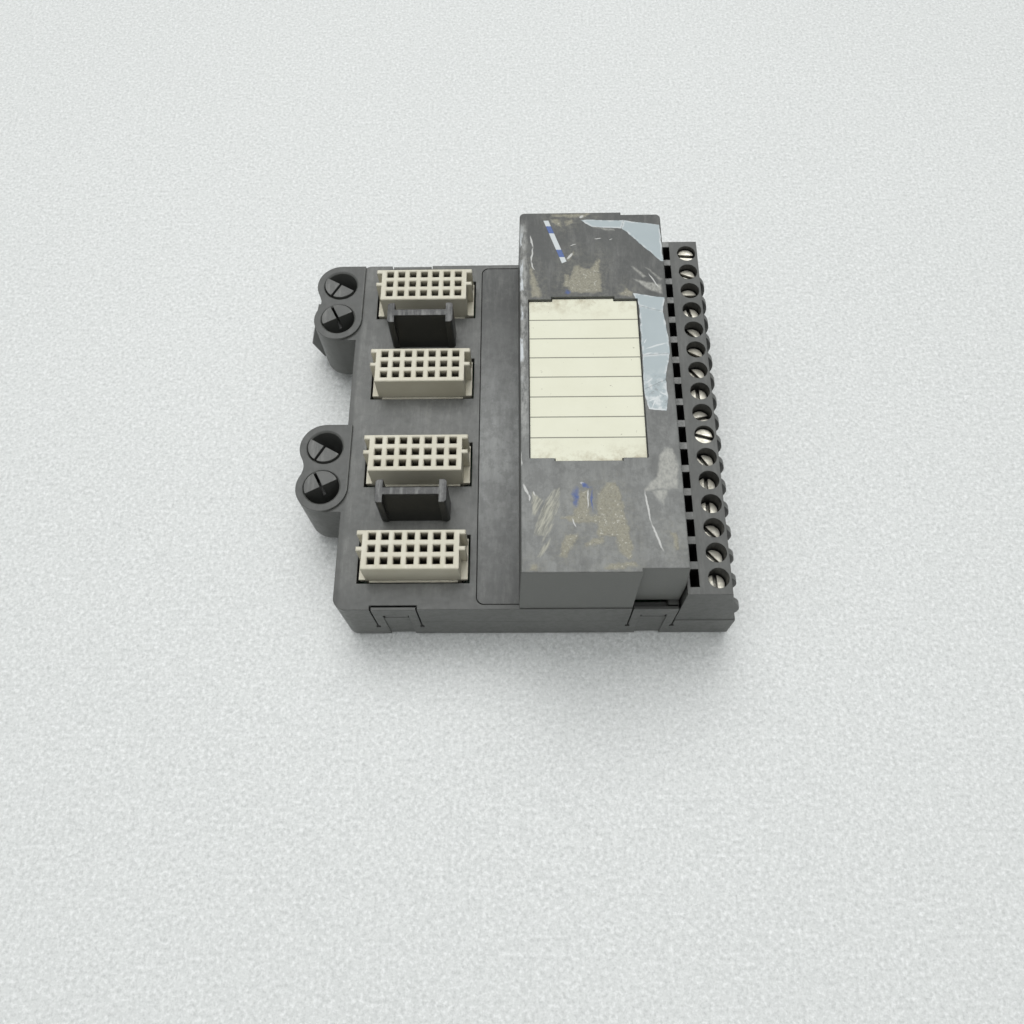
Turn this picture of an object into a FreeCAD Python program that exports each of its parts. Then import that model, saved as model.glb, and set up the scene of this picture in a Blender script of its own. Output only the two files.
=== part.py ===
"""Two-slot terminal block: snapped case, field cover with card, module sockets, coding keys, screw terminals.

X runs from the coding keys to the wire entries, Y along the row of screws and Z up.
The origin is the middle of the base's underside. Lengths are in millimetres, angles in degrees.
"""
import FreeCAD, Part
import math
import os

import Sketcher

# Driving sizes: alias, value, meaning
SIZES = [
    ("base_length", 80.2, "case from left face to right face"),
    ("base_height", 9.4, "height of the parting line between base and housing"),
    ("base_floor", 2.0, "thickness of the base's floor"),
    ("base_bevel", 0.8, "bevel round the underside"),
    ("case_wall", 2.0, "wall of base and housing"),
    ("case_corner", 2.5, "radius of the upright corners"),
    ("seam_bevel", 0.15, "bevel along the parting line"),
    ("case_end", 1.16, "from the last terminal's space to the case's end face"),
    ("fit_gap", 0.3, "room between neighbouring mouldings"),
    ("plate_top", 17.5, "height of the housing's top face"),
    ("plate_thick", 2.0, "thickness of the housing's top"),
    ("board_ledge", 1.5, "width of the ledges under the board"),
    ("board_thick", 1.6, "thickness of the board"),
    ("board_gap", 0.4, "room round the board"),
    ("clip_width", 9.4, "width of a snap tongue's notch"),
    ("clip_gap", 0.3, "slit round a snap tongue"),
    ("clip_backing", 1.1, "housing wall left behind a tongue"),
    ("clip_inset", 11.9, "case's left face to the left tongues' middle"),
    ("slit_foot", 5.4, "height where the slits beside a tongue end"),
    ("slit_end", 0.9, "width of the slits' wider ends"),
    ("slit_rise", 1.3, "height of those wider ends"),
    ("window_width", 5.2, "width of a tongue's catch window"),
    ("window_foot", 11.4, "height of the window's lower edge"),
    ("window_height", 2.1, "height of the window"),
    ("hook_gap", 0.3, "room round the hook in the window"),
    ("groove_depth", 0.3, "depth of the groove below the window"),
    ("foot_notch", 1.0, "height of the notch under a tongue"),
    ("tongue_drop", 0.3, "tongue's end below the housing's top"),
    ("slot_pitch", 42.15, "from one module slot to the next"),
    ("slot_shift", 0.39, "middle of the two slots from the case's middle"),
    ("socket_inset", 15.6, "case's left face to the sockets' middle"),
    ("socket_spacing", 21.1, "between the two sockets of a slot"),
    ("socket_top", 23.5, "height of the sockets' top face"),
    ("socket_columns", 7, "ways along X"),
    ("socket_rows", 3, "ways along Y"),
    ("way_pitch", 2.54, "between neighbouring ways"),
    ("socket_side", 1.85, "last column to the socket's side"),
    ("socket_edge", 1.26, "last row to the socket's edge"),
    ("ear_reach", 1.2, "how far ears and nubs stand out of the sides"),
    ("ear_thick", 0.9, "thickness of an ear or nub"),
    ("collar_reach", 1.35, "collar beyond the socket's sides"),
    ("collar_edge", 0.5, "collar beyond the socket's edges"),
    ("collar_thick", 1.1, "thickness of the collar"),
    ("collar_drop", 0.1, "collar's top below the housing's top"),
    ("lip_reach", 0.45, "front lip beyond the collar"),
    ("opening_gap", 0.4, "room round a collar in the housing"),
    ("way_mouth", 1.8, "width of a way's funnel at the top"),
    ("way_bore", 1.45, "width of a way below its funnel"),
    ("way_depth", 8.0, "depth of a way"),
    ("contact_width", 0.8, "width of a spring contact"),
    ("contact_height", 5.0, "height of a spring contact in its way"),
    ("post_width", 14.0, "guide post along X"),
    ("post_depth", 4.9, "guide post along Y"),
    ("post_web", 1.5, "web of the guide post"),
    ("post_flange", 1.5, "flanges of the guide post"),
    ("post_round", 0.7, "rounding of the flanges' outer corners"),
    ("post_top", 27.2, "height of the guide posts' top"),
    ("post_drop", 0.8, "wedges' upper edge below the guide post's top"),
    ("post_inset", 0.2, "wedges' foot inside the guide post's front and back"),
    ("tenon_gap", 0.15, "room round the post's tenon"),
    ("tenon_reach", 0.8, "tenon below the housing's top plate"),
    ("key_reach", 4.3, "case's left face to the coding keys' axes"),
    ("key_spacing", 9.3, "between the two keys of a tower"),
    ("tower_shift", 9.85, "slot's middle to its tower's middle"),
    ("key_bore", 3.65, "radius of a tower's bore"),
    ("tower_wall", 1.75, "wall round the bore"),
    ("waist_round", 4.0, "hollow radius between the two lobes"),
    ("tower_foot", 3.5, "height of the towers' lower end"),
    ("tower_rise", 0.6, "tower's rim above the housing's top"),
    ("tower_root", 2.6, "tower's body into the housing's wall"),
    ("bore_bevel", 0.35, "bevel round a bore's mouth"),
    ("key_seat", 8.0, "height of the ledge under a key"),
    ("key_ledge", 0.65, "width of that ledge"),
    ("key_gap", 0.1, "running fit of a key in its bore"),
    ("key_play", 0.05, "key above its ledge"),
    ("key_rise", 0.4, "key's top above the rim"),
    ("key_slit", 0.6, "width of the slit in a key"),
    ("key_slit_depth", 4.0, "depth of the slit"),
    ("finger_width", 3.0, "latch finger along Y"),
    ("finger_shift", 1.6, "finger's middle in front of its tower's middle"),
    ("finger_top", 4.9, "finger's outer edge beyond the key axes at its root"),
    ("finger_tip", 8.6, "finger's barb beyond the key axes"),
    ("finger_thick", 1.9, "thickness of the finger at its root"),
    ("barb_height", 6.5, "height of the barb"),
    ("finger_foot", 1.0, "height of the finger's lower end"),
    ("cover_top", 35.5, "height of the field cover's top"),
    ("cover_width", 31.1, "cover's foot along X"),
    ("cover_draft", 0.5, "lean of the cover's left face"),
    ("cover_slope", 0.8, "lean of the cover's right face above the strip"),
    ("cover_inset", 0.2, "cover's foot inside the case's end faces"),
    ("cover_lean", 0.9, "lean of the cover's end faces"),
    ("cover_wall", 1.8, "wall of the cover"),
    ("cover_edge", 0.25, "rounding of the cover's top edges"),
    ("cover_corner", 1.0, "radius of the cover's back corners"),
    ("recess_depth", 0.65, "recess above the right tongues at the cover's top"),
    ("recess_window", 0.3, "height of the window above the right tongues"),
    ("panel_width", 8.3, "flange panel along X"),
    ("panel_inset", 1.1, "panel inside the case's end faces"),
    ("panel_thick", 1.2, "thickness of the panel"),
    ("panel_corner", 1.5, "radius of the panel's corners"),
    ("panel_seam", 0.15, "seam round the panel"),
    ("card_margin", 1.85, "cover's left top edge to the card"),
    ("card_width", 21.8, "card along X"),
    ("card_length", 35.8, "card along Y without its tabs"),
    ("tab_width", 12.4, "card's tabs along X"),
    ("tab_reach", 0.6, "card's tabs along Y"),
    ("card_thick", 0.35, "thickness of the card"),
    ("card_gap", 0.2, "room round the card"),
    ("pocket_depth", 0.9, "depth of the card's pocket"),
    ("strip_width", 12.2, "terminal strip along X at its foot"),
    ("strip_flat", 8.4, "flat top of the strip along X"),
    ("strip_top", 25.6, "height of the strip's top"),
    ("strip_end", 0.7, "strip's end walls beyond the last terminal's space"),
    ("brow_height", 14.0, "height where the wire face turns"),
    ("brow_reach", 1.2, "wire face inside the case's right face there"),
    ("fin_thick", 1.2, "thickness of a fin between wire entries"),
    ("fin_reach", 1.0, "how far a fin bulges out of the wire face"),
    ("fin_top", 20.0, "height of a fin's upper end"),
    ("fin_foot", 13.5, "height of a fin's lower end"),
    ("screw_count", 16, "number of terminals"),
    ("screw_pitch", 5.08, "between neighbouring terminals"),
    ("screw_shift", -0.285, "middle of the row from the case's middle"),
    ("screw_inset", 6.2, "case's right face to the screws' axes"),
    ("head_radius", 1.8, "screw head"),
    ("head_height", 1.7, "height of the head"),
    ("head_gap", 0.2, "room round the head in its hole"),
    ("driver_slot", 0.8, "width of the driver slot"),
    ("driver_depth", 0.9, "depth of the driver slot"),
    ("thread_radius", 1.45, "screw thread"),
    ("thread_length", 6.35, "length under the head"),
    ("thread_gap", 0.08, "running fit of the thread in its box"),
    ("foot_thick", 0.8, "thickness of the pressure foot"),
    ("foot_lip", 0.6, "how far the foot's right end turns up"),
    ("foot_gap", 0.2, "room round the foot in its box"),
    ("partition", 0.7, "wall between neighbouring terminals"),
    ("box_gap", 0.15, "room round a terminal box"),
    ("box_wall", 0.8, "wall of a terminal box"),
    ("box_head", 1.4, "height of the jaw that holds the thread"),
    ("box_top", 18.8, "height of the boxes' top"),
    ("box_floor", 11.0, "height of the floor that a wire is pressed on"),
    ("box_left", 2.7, "box to the left of the screw's axis"),
    ("box_right", 2.5, "box to the right of the screw's axis"),
    ("entry_width", 3.4, "wire entry along Y"),
    ("entry_foot", 11.8, "height of a wire entry's lower edge"),
    ("entry_height", 4.0, "height of a wire entry"),
    ("probe_inset", 4.57, "screws' axes to the probe slots' middle"),
    ("probe_width", 1.75, "probe slot along X"),
    ("probe_length", 3.55, "probe slot along Y"),
    ("probe_depth", 9.0, "depth of a probe slot"),
]

# Each screw as it was left, from the front to the back: depth of its head and turn of its slot
SCREW_DEPTHS = [3.4, 3.3, 3.2, 3.3, 3.0, 2.7, 1.1, 2.7, 2.4, 2.4, 2.3, 2.5, 2.2, 2.2, 1.8, 1.1]
SCREW_TURNS = [92, 132, 132, 90, 88, 122, 163, 12, 92, 128, 152, 133, 104, 178, 158, 176]

# Turn of each coding key, from the back to the front
KEY_TURNS = [240, 117, 240, 117]

doc = FreeCAD.newDocument("terminal_block")
sheet = doc.addObject("Spreadsheet::Sheet", "sizes")
bodies = []


def fill_sheet():
    """Write every driving size into the sheet, one row each."""
    rows = list(SIZES)
    for place, depth in enumerate(SCREW_DEPTHS, 1):
        rows.append((f"depth_{place:02d}", depth, "depth of this screw's head in its hole"))
    for place, turn in enumerate(SCREW_TURNS, 1):
        rows.append((f"turn_{place:02d}", turn, "turn of this screw's slot"))
    for place, turn in enumerate(KEY_TURNS, 1):
        rows.append((f"key_turn_{place}", turn, "turn of this coding key"))
    for line, (alias, value, meaning) in enumerate(rows, 1):
        sheet.set(f"A{line}", meaning)
        sheet.set(f"B{line}", str(value))
        sheet.setAlias(f"B{line}", alias)
    doc.recompute()


# Places worked out from the sizes, as expressions on the sheet
LEFT = "(-sizes.base_length / 2)"
RIGHT = "(sizes.base_length / 2)"
END = "(sizes.screw_count * sizes.screw_pitch / 2 + sizes.case_end)"
STRIP_LEFT = f"({RIGHT} - sizes.strip_width)"
CASE_RIGHT = f"({STRIP_LEFT} - sizes.fit_gap)"
COVER_LEFT = f"({CASE_RIGHT} - sizes.cover_width)"
COVER_END = f"({END} - sizes.cover_inset)"
PANEL_LEFT = f"({COVER_LEFT} - sizes.panel_width)"
PANEL_END = f"({END} - sizes.panel_inset)"
CARD_LEFT = f"({COVER_LEFT} + sizes.cover_draft + sizes.card_margin)"
CARD_MIDDLE = f"({CARD_LEFT} + sizes.card_width / 2)"
SCREW_X = f"({RIGHT} - sizes.screw_inset)"
FIRST_SCREW_Y = "(sizes.screw_shift - (sizes.screw_count - 1) * sizes.screw_pitch / 2)"
STRIP_HALF = "(sizes.screw_count * sizes.screw_pitch / 2 + sizes.strip_end)"
SOCKET_X = f"({LEFT} + sizes.socket_inset)"
SOCKET_HALF_X = "((sizes.socket_columns - 1) * sizes.way_pitch / 2 + sizes.socket_side)"
SOCKET_HALF_Y = "((sizes.socket_rows - 1) * sizes.way_pitch / 2 + sizes.socket_edge)"
COLLAR_HALF_X = f"({SOCKET_HALF_X} + sizes.collar_reach)"
COLLAR_HALF_Y = f"({SOCKET_HALF_Y} + sizes.collar_edge)"
COLLAR_TOP = "(sizes.plate_top - sizes.collar_drop)"
BOARD_SEAT = "(sizes.base_height - sizes.board_thick)"
BOARD_TOP = "sizes.base_height"
KEY_X = f"({LEFT} - sizes.key_reach)"
TOWER_RADIUS = "(sizes.key_bore + sizes.tower_wall)"
TOWER_TOP = "(sizes.plate_top + sizes.tower_rise)"
CLIP_X = [f"({LEFT} + sizes.clip_inset)", f"({STRIP_LEFT} - sizes.clip_width / 2)"]
TONGUE_THICK = "(sizes.case_wall - sizes.clip_backing - sizes.clip_gap)"
NOTCH_DEPTH = "(sizes.case_wall - sizes.clip_backing)"
CHAMBER_WIDTH = "(sizes.screw_pitch - sizes.partition)"
BOX_WIDTH = f"({CHAMBER_WIDTH} - 2 * sizes.box_gap)"


def slot_y(slot):
    """Middle of a module slot along Y: slot 0 is at the back, slot 1 at the front."""
    side = "+" if slot == 0 else "-"
    return f"(sizes.slot_shift {side} sizes.slot_pitch / 2)"


def socket_y(socket):
    """Middle of a socket along Y, counted from the back."""
    side = "+" if socket % 2 == 0 else "-"
    return f"({slot_y(socket // 2)} {side} sizes.socket_spacing / 2)"


def tower_y(slot):
    """Middle of a slot's tower along Y."""
    return f"({slot_y(slot)} + sizes.tower_shift)"


def key_y(key):
    """Axis of a coding key along Y, counted from the back."""
    side = "+" if key % 2 == 0 else "-"
    return f"({tower_y(key // 2)} {side} sizes.key_spacing / 2)"


def number(expression):
    """Present value of an expression on the sheet."""
    return float(sheet.evalExpression(expression))


def new_body(label):
    """An empty body for one sub-part."""
    body = doc.addObject("PartDesign::Body", label)
    body.Label = label
    bodies.append(body)
    return body


def origin_feature(body, role):
    """One of the body's own origin planes or axes."""
    return next(item for item in body.Origin.OriginFeatures if item.Role == role)


def new_sketch(body, plane, offset="0"):
    """A sketch on one of the body's planes, moved along the plane's normal."""
    sketch = body.newObject("Sketcher::SketchObject", f"{body.Name}_sketch")
    sketch.AttachmentSupport = [(origin_feature(body, plane), "")]
    sketch.MapMode = "FlatFace"
    sketch.setExpression("AttachmentOffset.Base.z", offset)
    return sketch


def pin_point(sketch, shape, point, x, y):
    """Hold a point of a sketch's shape at a place given by two expressions."""
    for kind, expression in (("DistanceX", x), ("DistanceY", y)):
        row = sketch.addConstraint(Sketcher.Constraint(kind, -1, 1, shape, point, number(expression)))
        sketch.setExpression(f"Constraints[{row}]", expression)


def set_radius(sketch, shape, radius):
    """Bind the radius of a circle or arc."""
    row = sketch.addConstraint(Sketcher.Constraint("Radius", shape, number(radius)))
    sketch.setExpression(f"Constraints[{row}]", radius)


def polygon(sketch, corners):
    """A closed outline of straight lines through corners given as pairs of expressions."""
    points = [FreeCAD.Vector(number(x), number(y), 0) for x, y in corners]
    first = sketch.GeometryCount
    for place, point in enumerate(points):
        sketch.addGeometry(Part.LineSegment(point, points[(place + 1) % len(points)]), False)
    for place, (x, y) in enumerate(corners):
        following = first + (place + 1) % len(points)
        sketch.addConstraint(Sketcher.Constraint("Coincident", first + place, 2, following, 1))
        pin_point(sketch, first + place, 1, x, y)


def rectangle(sketch, left, low, right, high):
    """A rectangle between two corners."""
    polygon(sketch, [(left, low), (right, low), (right, high), (left, high)])


def centred(sketch, x, y, half_x, half_y):
    """A rectangle round its middle."""
    rectangle(sketch, f"{x} - {half_x}", f"{y} - {half_y}", f"{x} + {half_x}", f"{y} + {half_y}")


def circle(sketch, x, y, radius):
    """A circle round a place."""
    middle = FreeCAD.Vector(number(x), number(y), 0)
    shape = sketch.addGeometry(Part.Circle(middle, FreeCAD.Vector(0, 0, 1), number(radius)), False)
    pin_point(sketch, shape, 3, x, y)
    set_radius(sketch, shape, radius)


def pad(body, sketch, length, both_ways=False, backwards=False):
    """Add the sketch's profile, along its normal unless backwards."""
    feature = body.newObject("PartDesign::Pad", f"{body.Name}_pad")
    feature.Profile = sketch
    feature.setExpression("Length", length)
    feature.Midplane = both_ways
    feature.Reversed = backwards
    return feature


def pocket(body, sketch, length, both_ways=False, backwards=False):
    """Cut the sketch's profile away, against its normal unless backwards."""
    feature = body.newObject("PartDesign::Pocket", f"{body.Name}_pocket")
    feature.Profile = sketch
    feature.setExpression("Length", length)
    feature.Midplane = both_ways
    feature.Reversed = backwards
    return feature


def mirror_ends(body, features):
    """Repeat features of the front end at the back end."""
    feature = body.newObject("PartDesign::Mirrored", f"{body.Name}_mirror")
    feature.Originals = features
    feature.MirrorPlane = (origin_feature(body, "XZ_Plane"), [""])
    body.Tip = feature
    return feature


def repeat_terminals(body, features):
    """Repeat the first terminal's features for every terminal of the row."""
    feature = body.newObject("PartDesign::LinearPattern", f"{body.Name}_row")
    feature.Originals = features
    feature.Direction = (origin_feature(body, "Y_Axis"), [""])
    feature.setExpression("Length", "(sizes.screw_count - 1) * sizes.screw_pitch")
    feature.setExpression("Occurrences", "sizes.screw_count")
    body.Tip = feature
    return feature


def repeat_ways(body, features):
    """Repeat the first way's features over a socket's grid."""
    feature = body.newObject("PartDesign::LinearPattern", f"{body.Name}_grid")
    feature.Originals = features
    feature.Direction = (origin_feature(body, "X_Axis"), [""])
    feature.setExpression("Length", "(sizes.socket_columns - 1) * sizes.way_pitch")
    feature.setExpression("Occurrences", "sizes.socket_columns")
    feature.Direction2 = (origin_feature(body, "Y_Axis"), [""])
    feature.setExpression("Length2", "(sizes.socket_rows - 1) * sizes.way_pitch")
    feature.setExpression("Occurrences2", "sizes.socket_rows")
    body.Tip = feature
    return feature


def dress_edges(body, kind, feature, size, chosen):
    """Round or bevel the edges of a feature that the test picks out."""
    doc.recompute()
    names = [f"Edge{place}" for place, edge in enumerate(feature.Shape.Edges, 1) if chosen(edge)]
    dressed = body.newObject(f"PartDesign::{kind}", f"{body.Name}_{kind.lower()}")
    dressed.Base = (feature, names)
    dressed.setExpression("Radius" if kind == "Fillet" else "Size", size)
    body.Tip = dressed
    return dressed


def upright(edge):
    """True for a straight edge along Z."""
    ends = edge.Vertexes
    return len(ends) == 2 and abs(ends[0].X - ends[1].X) + abs(ends[0].Y - ends[1].Y) < 1e-6


def near(value, expression):
    """True where a coordinate is at the place that an expression gives."""
    return abs(value - number(expression)) < 1e-4


def clip_slots(sketch):
    """The two slits beside each tongue of an end face, widened at their lower ends."""
    for middle in CLIP_X:
        for side in ("-", "+"):
            slit = f"({middle} {side} (sizes.clip_width - sizes.clip_gap) / 2)"
            top = "sizes.base_height + sizes.fit_gap"
            knee = "sizes.slit_foot + sizes.slit_rise"
            corners = [
                (f"{slit} - sizes.slit_end / 2", "sizes.slit_foot"),
                (f"{slit} + sizes.slit_end / 2", "sizes.slit_foot"),
                (f"{slit} + sizes.slit_end / 2", knee),
                (f"{slit} + sizes.clip_gap / 2", knee),
                (f"{slit} + sizes.clip_gap / 2", top),
                (f"{slit} - sizes.clip_gap / 2", top),
                (f"{slit} - sizes.clip_gap / 2", knee),
                (f"{slit} - sizes.slit_end / 2", knee),
            ]
            polygon(sketch, corners)


def base_tray():
    """Lower half of the case: a tray with a ledge for the board and four snap tongues."""
    body = new_body("base_tray")
    outline = new_sketch(body, "XY_Plane")
    rectangle(outline, LEFT, f"-{END}", RIGHT, END)
    block = pad(body, outline, "sizes.base_height")

    def left_corner(edge):
        return upright(edge) and near(edge.Vertexes[0].X, LEFT)

    rounded = dress_edges(body, "Fillet", block, "sizes.case_corner", left_corner)

    def foot(edge):
        return near(edge.BoundBox.ZMax, "0")

    def seam(edge):
        return near(edge.BoundBox.ZMin, "sizes.base_height")

    bevelled = dress_edges(body, "Chamfer", rounded, "sizes.base_bevel", foot)
    dress_edges(body, "Chamfer", bevelled, "sizes.seam_bevel", seam)
    upper = new_sketch(body, "XY_Plane", "sizes.base_height")
    centred(upper, "0", "0", f"({RIGHT} - sizes.case_wall)", f"({END} - sizes.case_wall)")
    pocket(body, upper, "sizes.board_thick")
    lower = new_sketch(body, "XY_Plane", BOARD_SEAT)
    between = f"({RIGHT} - sizes.case_wall - sizes.board_ledge)"
    centred(lower, "0", "0", between, f"({END} - sizes.case_wall)")
    pocket(body, lower, f"{BOARD_SEAT} - sizes.base_floor")

    tongues = new_sketch(body, "XZ_Plane", END)
    for middle in CLIP_X:
        half = "(sizes.clip_width / 2 - sizes.clip_gap)"
        top = "sizes.plate_top - sizes.tongue_drop"
        rectangle(tongues, f"{middle} - {half}", "sizes.slit_foot", f"{middle} + {half}", top)
    tongue_pad = pad(body, tongues, TONGUE_THICK, backwards=True)
    slits = new_sketch(body, "XZ_Plane", END)
    clip_slots(slits)
    slit_cut = pocket(body, slits, "sizes.case_wall")
    windows = new_sketch(body, "XZ_Plane", END)
    grooves = new_sketch(body, "XZ_Plane", END)
    notches = new_sketch(body, "XZ_Plane", END)
    for middle in CLIP_X:
        left = f"{middle} - sizes.window_width / 2"
        right = f"{middle} + sizes.window_width / 2"
        rectangle(windows, left, "sizes.window_foot", right, "sizes.window_foot + sizes.window_height")
        rectangle(grooves, left, "0", right, "sizes.window_foot")
        rectangle(notches, left, "0", right, "sizes.foot_notch")
    window_cut = pocket(body, windows, TONGUE_THICK)
    groove_cut = pocket(body, grooves, "sizes.groove_depth")
    notch_cut = pocket(body, notches, "sizes.case_wall")
    mirror_ends(body, [tongue_pad, slit_cut, window_cut, groove_cut, notch_cut])


def tower_outline(sketch, slot, right):
    """Outline of a two-lobed key tower with a hollow waist, closed by a straight right edge."""
    radius = number(TOWER_RADIUS)
    waist = number("sizes.waist_round")
    half = number("sizes.key_spacing") / 2
    reach = math.sqrt((radius + waist) ** 2 - half**2)
    lean = math.atan2(half, reach)
    x = number(KEY_X)
    back = key_y(2 * slot)
    front = key_y(2 * slot + 1)
    middle = number(tower_y(slot))
    axis = FreeCAD.Vector(0, 0, 1)
    front_lobe = Part.Circle(FreeCAD.Vector(x, number(front), 0), axis, radius)
    back_lobe = Part.Circle(FreeCAD.Vector(x, number(back), 0), axis, radius)
    hollow = Part.Circle(FreeCAD.Vector(x - reach, middle, 0), axis, waist)
    low = f"{front} - {TOWER_RADIUS}"
    high = f"{back} + {TOWER_RADIUS}"
    corner = FreeCAD.Vector(number(right), number(low), 0)
    far = FreeCAD.Vector(number(right), number(high), 0)
    sketch.addGeometry(Part.LineSegment(corner, FreeCAD.Vector(x, number(low), 0)), False)
    sketch.addGeometry(Part.ArcOfCircle(front_lobe, math.pi - lean, 1.5 * math.pi), False)
    sketch.addGeometry(Part.ArcOfCircle(hollow, -lean, lean), False)
    sketch.addGeometry(Part.ArcOfCircle(back_lobe, 0.5 * math.pi, math.pi + lean), False)
    sketch.addGeometry(Part.LineSegment(FreeCAD.Vector(x, number(high), 0), far), False)
    sketch.addGeometry(Part.LineSegment(far, corner), False)
    pin_point(sketch, 0, 1, right, low)
    pin_point(sketch, 0, 2, KEY_X, low)
    pin_point(sketch, 4, 1, KEY_X, high)
    pin_point(sketch, 4, 2, right, high)
    pin_point(sketch, 1, 3, KEY_X, front)
    pin_point(sketch, 3, 3, KEY_X, back)
    sketch.addConstraint(Sketcher.Constraint("Coincident", 0, 2, 1, 2))
    sketch.addConstraint(Sketcher.Constraint("Tangent", 1, 1, 2, 1))
    sketch.addConstraint(Sketcher.Constraint("Tangent", 2, 2, 3, 2))
    sketch.addConstraint(Sketcher.Constraint("Coincident", 3, 1, 4, 1))
    sketch.addConstraint(Sketcher.Constraint("Coincident", 4, 2, 5, 1))
    sketch.addConstraint(Sketcher.Constraint("Coincident", 5, 2, 0, 1))
    set_radius(sketch, 2, "sizes.waist_round")


def rim_outline(sketch, slot):
    """Outline of a tower's raised rim, whose front lobe runs on round to the right."""
    radius = number(TOWER_RADIUS)
    waist = number("sizes.waist_round")
    half = number("sizes.key_spacing") / 2
    reach = math.sqrt((radius + waist) ** 2 - half**2)
    lean = math.atan2(half, reach)
    x = number(KEY_X)
    back = key_y(2 * slot)
    front = key_y(2 * slot + 1)
    right = f"({KEY_X} + {TOWER_RADIUS})"
    high = f"{back} + {TOWER_RADIUS}"
    axis = FreeCAD.Vector(0, 0, 1)
    front_lobe = Part.Circle(FreeCAD.Vector(x, number(front), 0), axis, radius)
    back_lobe = Part.Circle(FreeCAD.Vector(x, number(back), 0), axis, radius)
    hollow = Part.Circle(FreeCAD.Vector(x - reach, number(tower_y(slot)), 0), axis, waist)
    low_right = FreeCAD.Vector(number(right), number(front), 0)
    high_right = FreeCAD.Vector(number(right), number(high), 0)
    sketch.addGeometry(Part.LineSegment(low_right, high_right), False)
    sketch.addGeometry(Part.LineSegment(high_right, FreeCAD.Vector(x, number(high), 0)), False)
    sketch.addGeometry(Part.ArcOfCircle(back_lobe, 0.5 * math.pi, math.pi + lean), False)
    sketch.addGeometry(Part.ArcOfCircle(hollow, -lean, lean), False)
    sketch.addGeometry(Part.ArcOfCircle(front_lobe, math.pi - lean, 2 * math.pi), False)
    pin_point(sketch, 0, 1, right, front)
    pin_point(sketch, 0, 2, right, high)
    pin_point(sketch, 1, 2, KEY_X, high)
    pin_point(sketch, 2, 3, KEY_X, back)
    pin_point(sketch, 4, 3, KEY_X, front)
    sketch.addConstraint(Sketcher.Constraint("Coincident", 0, 2, 1, 1))
    sketch.addConstraint(Sketcher.Constraint("Coincident", 1, 2, 2, 1))
    sketch.addConstraint(Sketcher.Constraint("Coincident", 4, 2, 0, 1))
    sketch.addConstraint(Sketcher.Constraint("Tangent", 4, 1, 3, 1))
    sketch.addConstraint(Sketcher.Constraint("Tangent", 3, 2, 2, 2))
    set_radius(sketch, 3, "sizes.waist_round")


def key_towers(body):
    """The two towers on the housing's left, clear of the base below the parting line, with raised rims."""
    for slot in (0, 1):
        lower = new_sketch(body, "XY_Plane", "sizes.tower_foot")
        tower_outline(lower, slot, f"({LEFT} - sizes.fit_gap)")
        pad(body, lower, "sizes.base_height - sizes.tower_foot")
        upper = new_sketch(body, "XY_Plane", "sizes.base_height")
        tower_outline(upper, slot, f"({LEFT} + sizes.tower_root)")
        pad(body, upper, "sizes.plate_top - sizes.base_height")
        rim = new_sketch(body, "XY_Plane", "sizes.plate_top")
        rim_outline(rim, slot)
        pad(body, rim, "sizes.tower_rise")


def key_bores(body):
    """Bores for the coding keys, each with a ledge, open to the floor."""
    seats = new_sketch(body, "XY_Plane", TOWER_TOP)
    ways = new_sketch(body, "XY_Plane", TOWER_TOP)
    for key in range(4):
        circle(seats, KEY_X, key_y(key), "sizes.key_bore")
        circle(ways, KEY_X, key_y(key), "sizes.key_bore - sizes.key_ledge")
    pocket(body, seats, f"{TOWER_TOP} - sizes.key_seat")
    way_cut = pocket(body, ways, f"{TOWER_TOP} - sizes.tower_foot")

    def mouth(edge):
        round_edge = isinstance(edge.Curve, Part.Circle) and near(edge.Curve.Radius, "sizes.key_bore")
        return round_edge and near(edge.BoundBox.ZMin, TOWER_TOP)

    dress_edges(body, "Chamfer", way_cut, "sizes.bore_bevel", mouth)


def latch_finger(body):
    """Spring finger with a barb in the waist of the back tower."""
    middle = f"({tower_y(0)} - sizes.finger_shift)"
    profile = new_sketch(body, "XZ_Plane", f"-{middle}")
    root = f"{KEY_X} - sizes.finger_top"
    tip = f"{KEY_X} - sizes.finger_tip"
    toe = f"({KEY_X} - (sizes.finger_top + sizes.finger_tip) / 2)"
    corners = [
        (f"{root} + sizes.finger_thick", "sizes.plate_top"),
        (root, "sizes.plate_top"),
        (tip, "sizes.barb_height"),
        (toe, "sizes.finger_foot"),
        (f"{toe} + sizes.finger_thick / 2", "sizes.finger_foot"),
        (f"{root} + sizes.finger_thick", "sizes.plate_top - sizes.finger_thick * 2"),
    ]
    polygon(profile, corners)
    pad(body, profile, "sizes.finger_width", both_ways=True)


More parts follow.
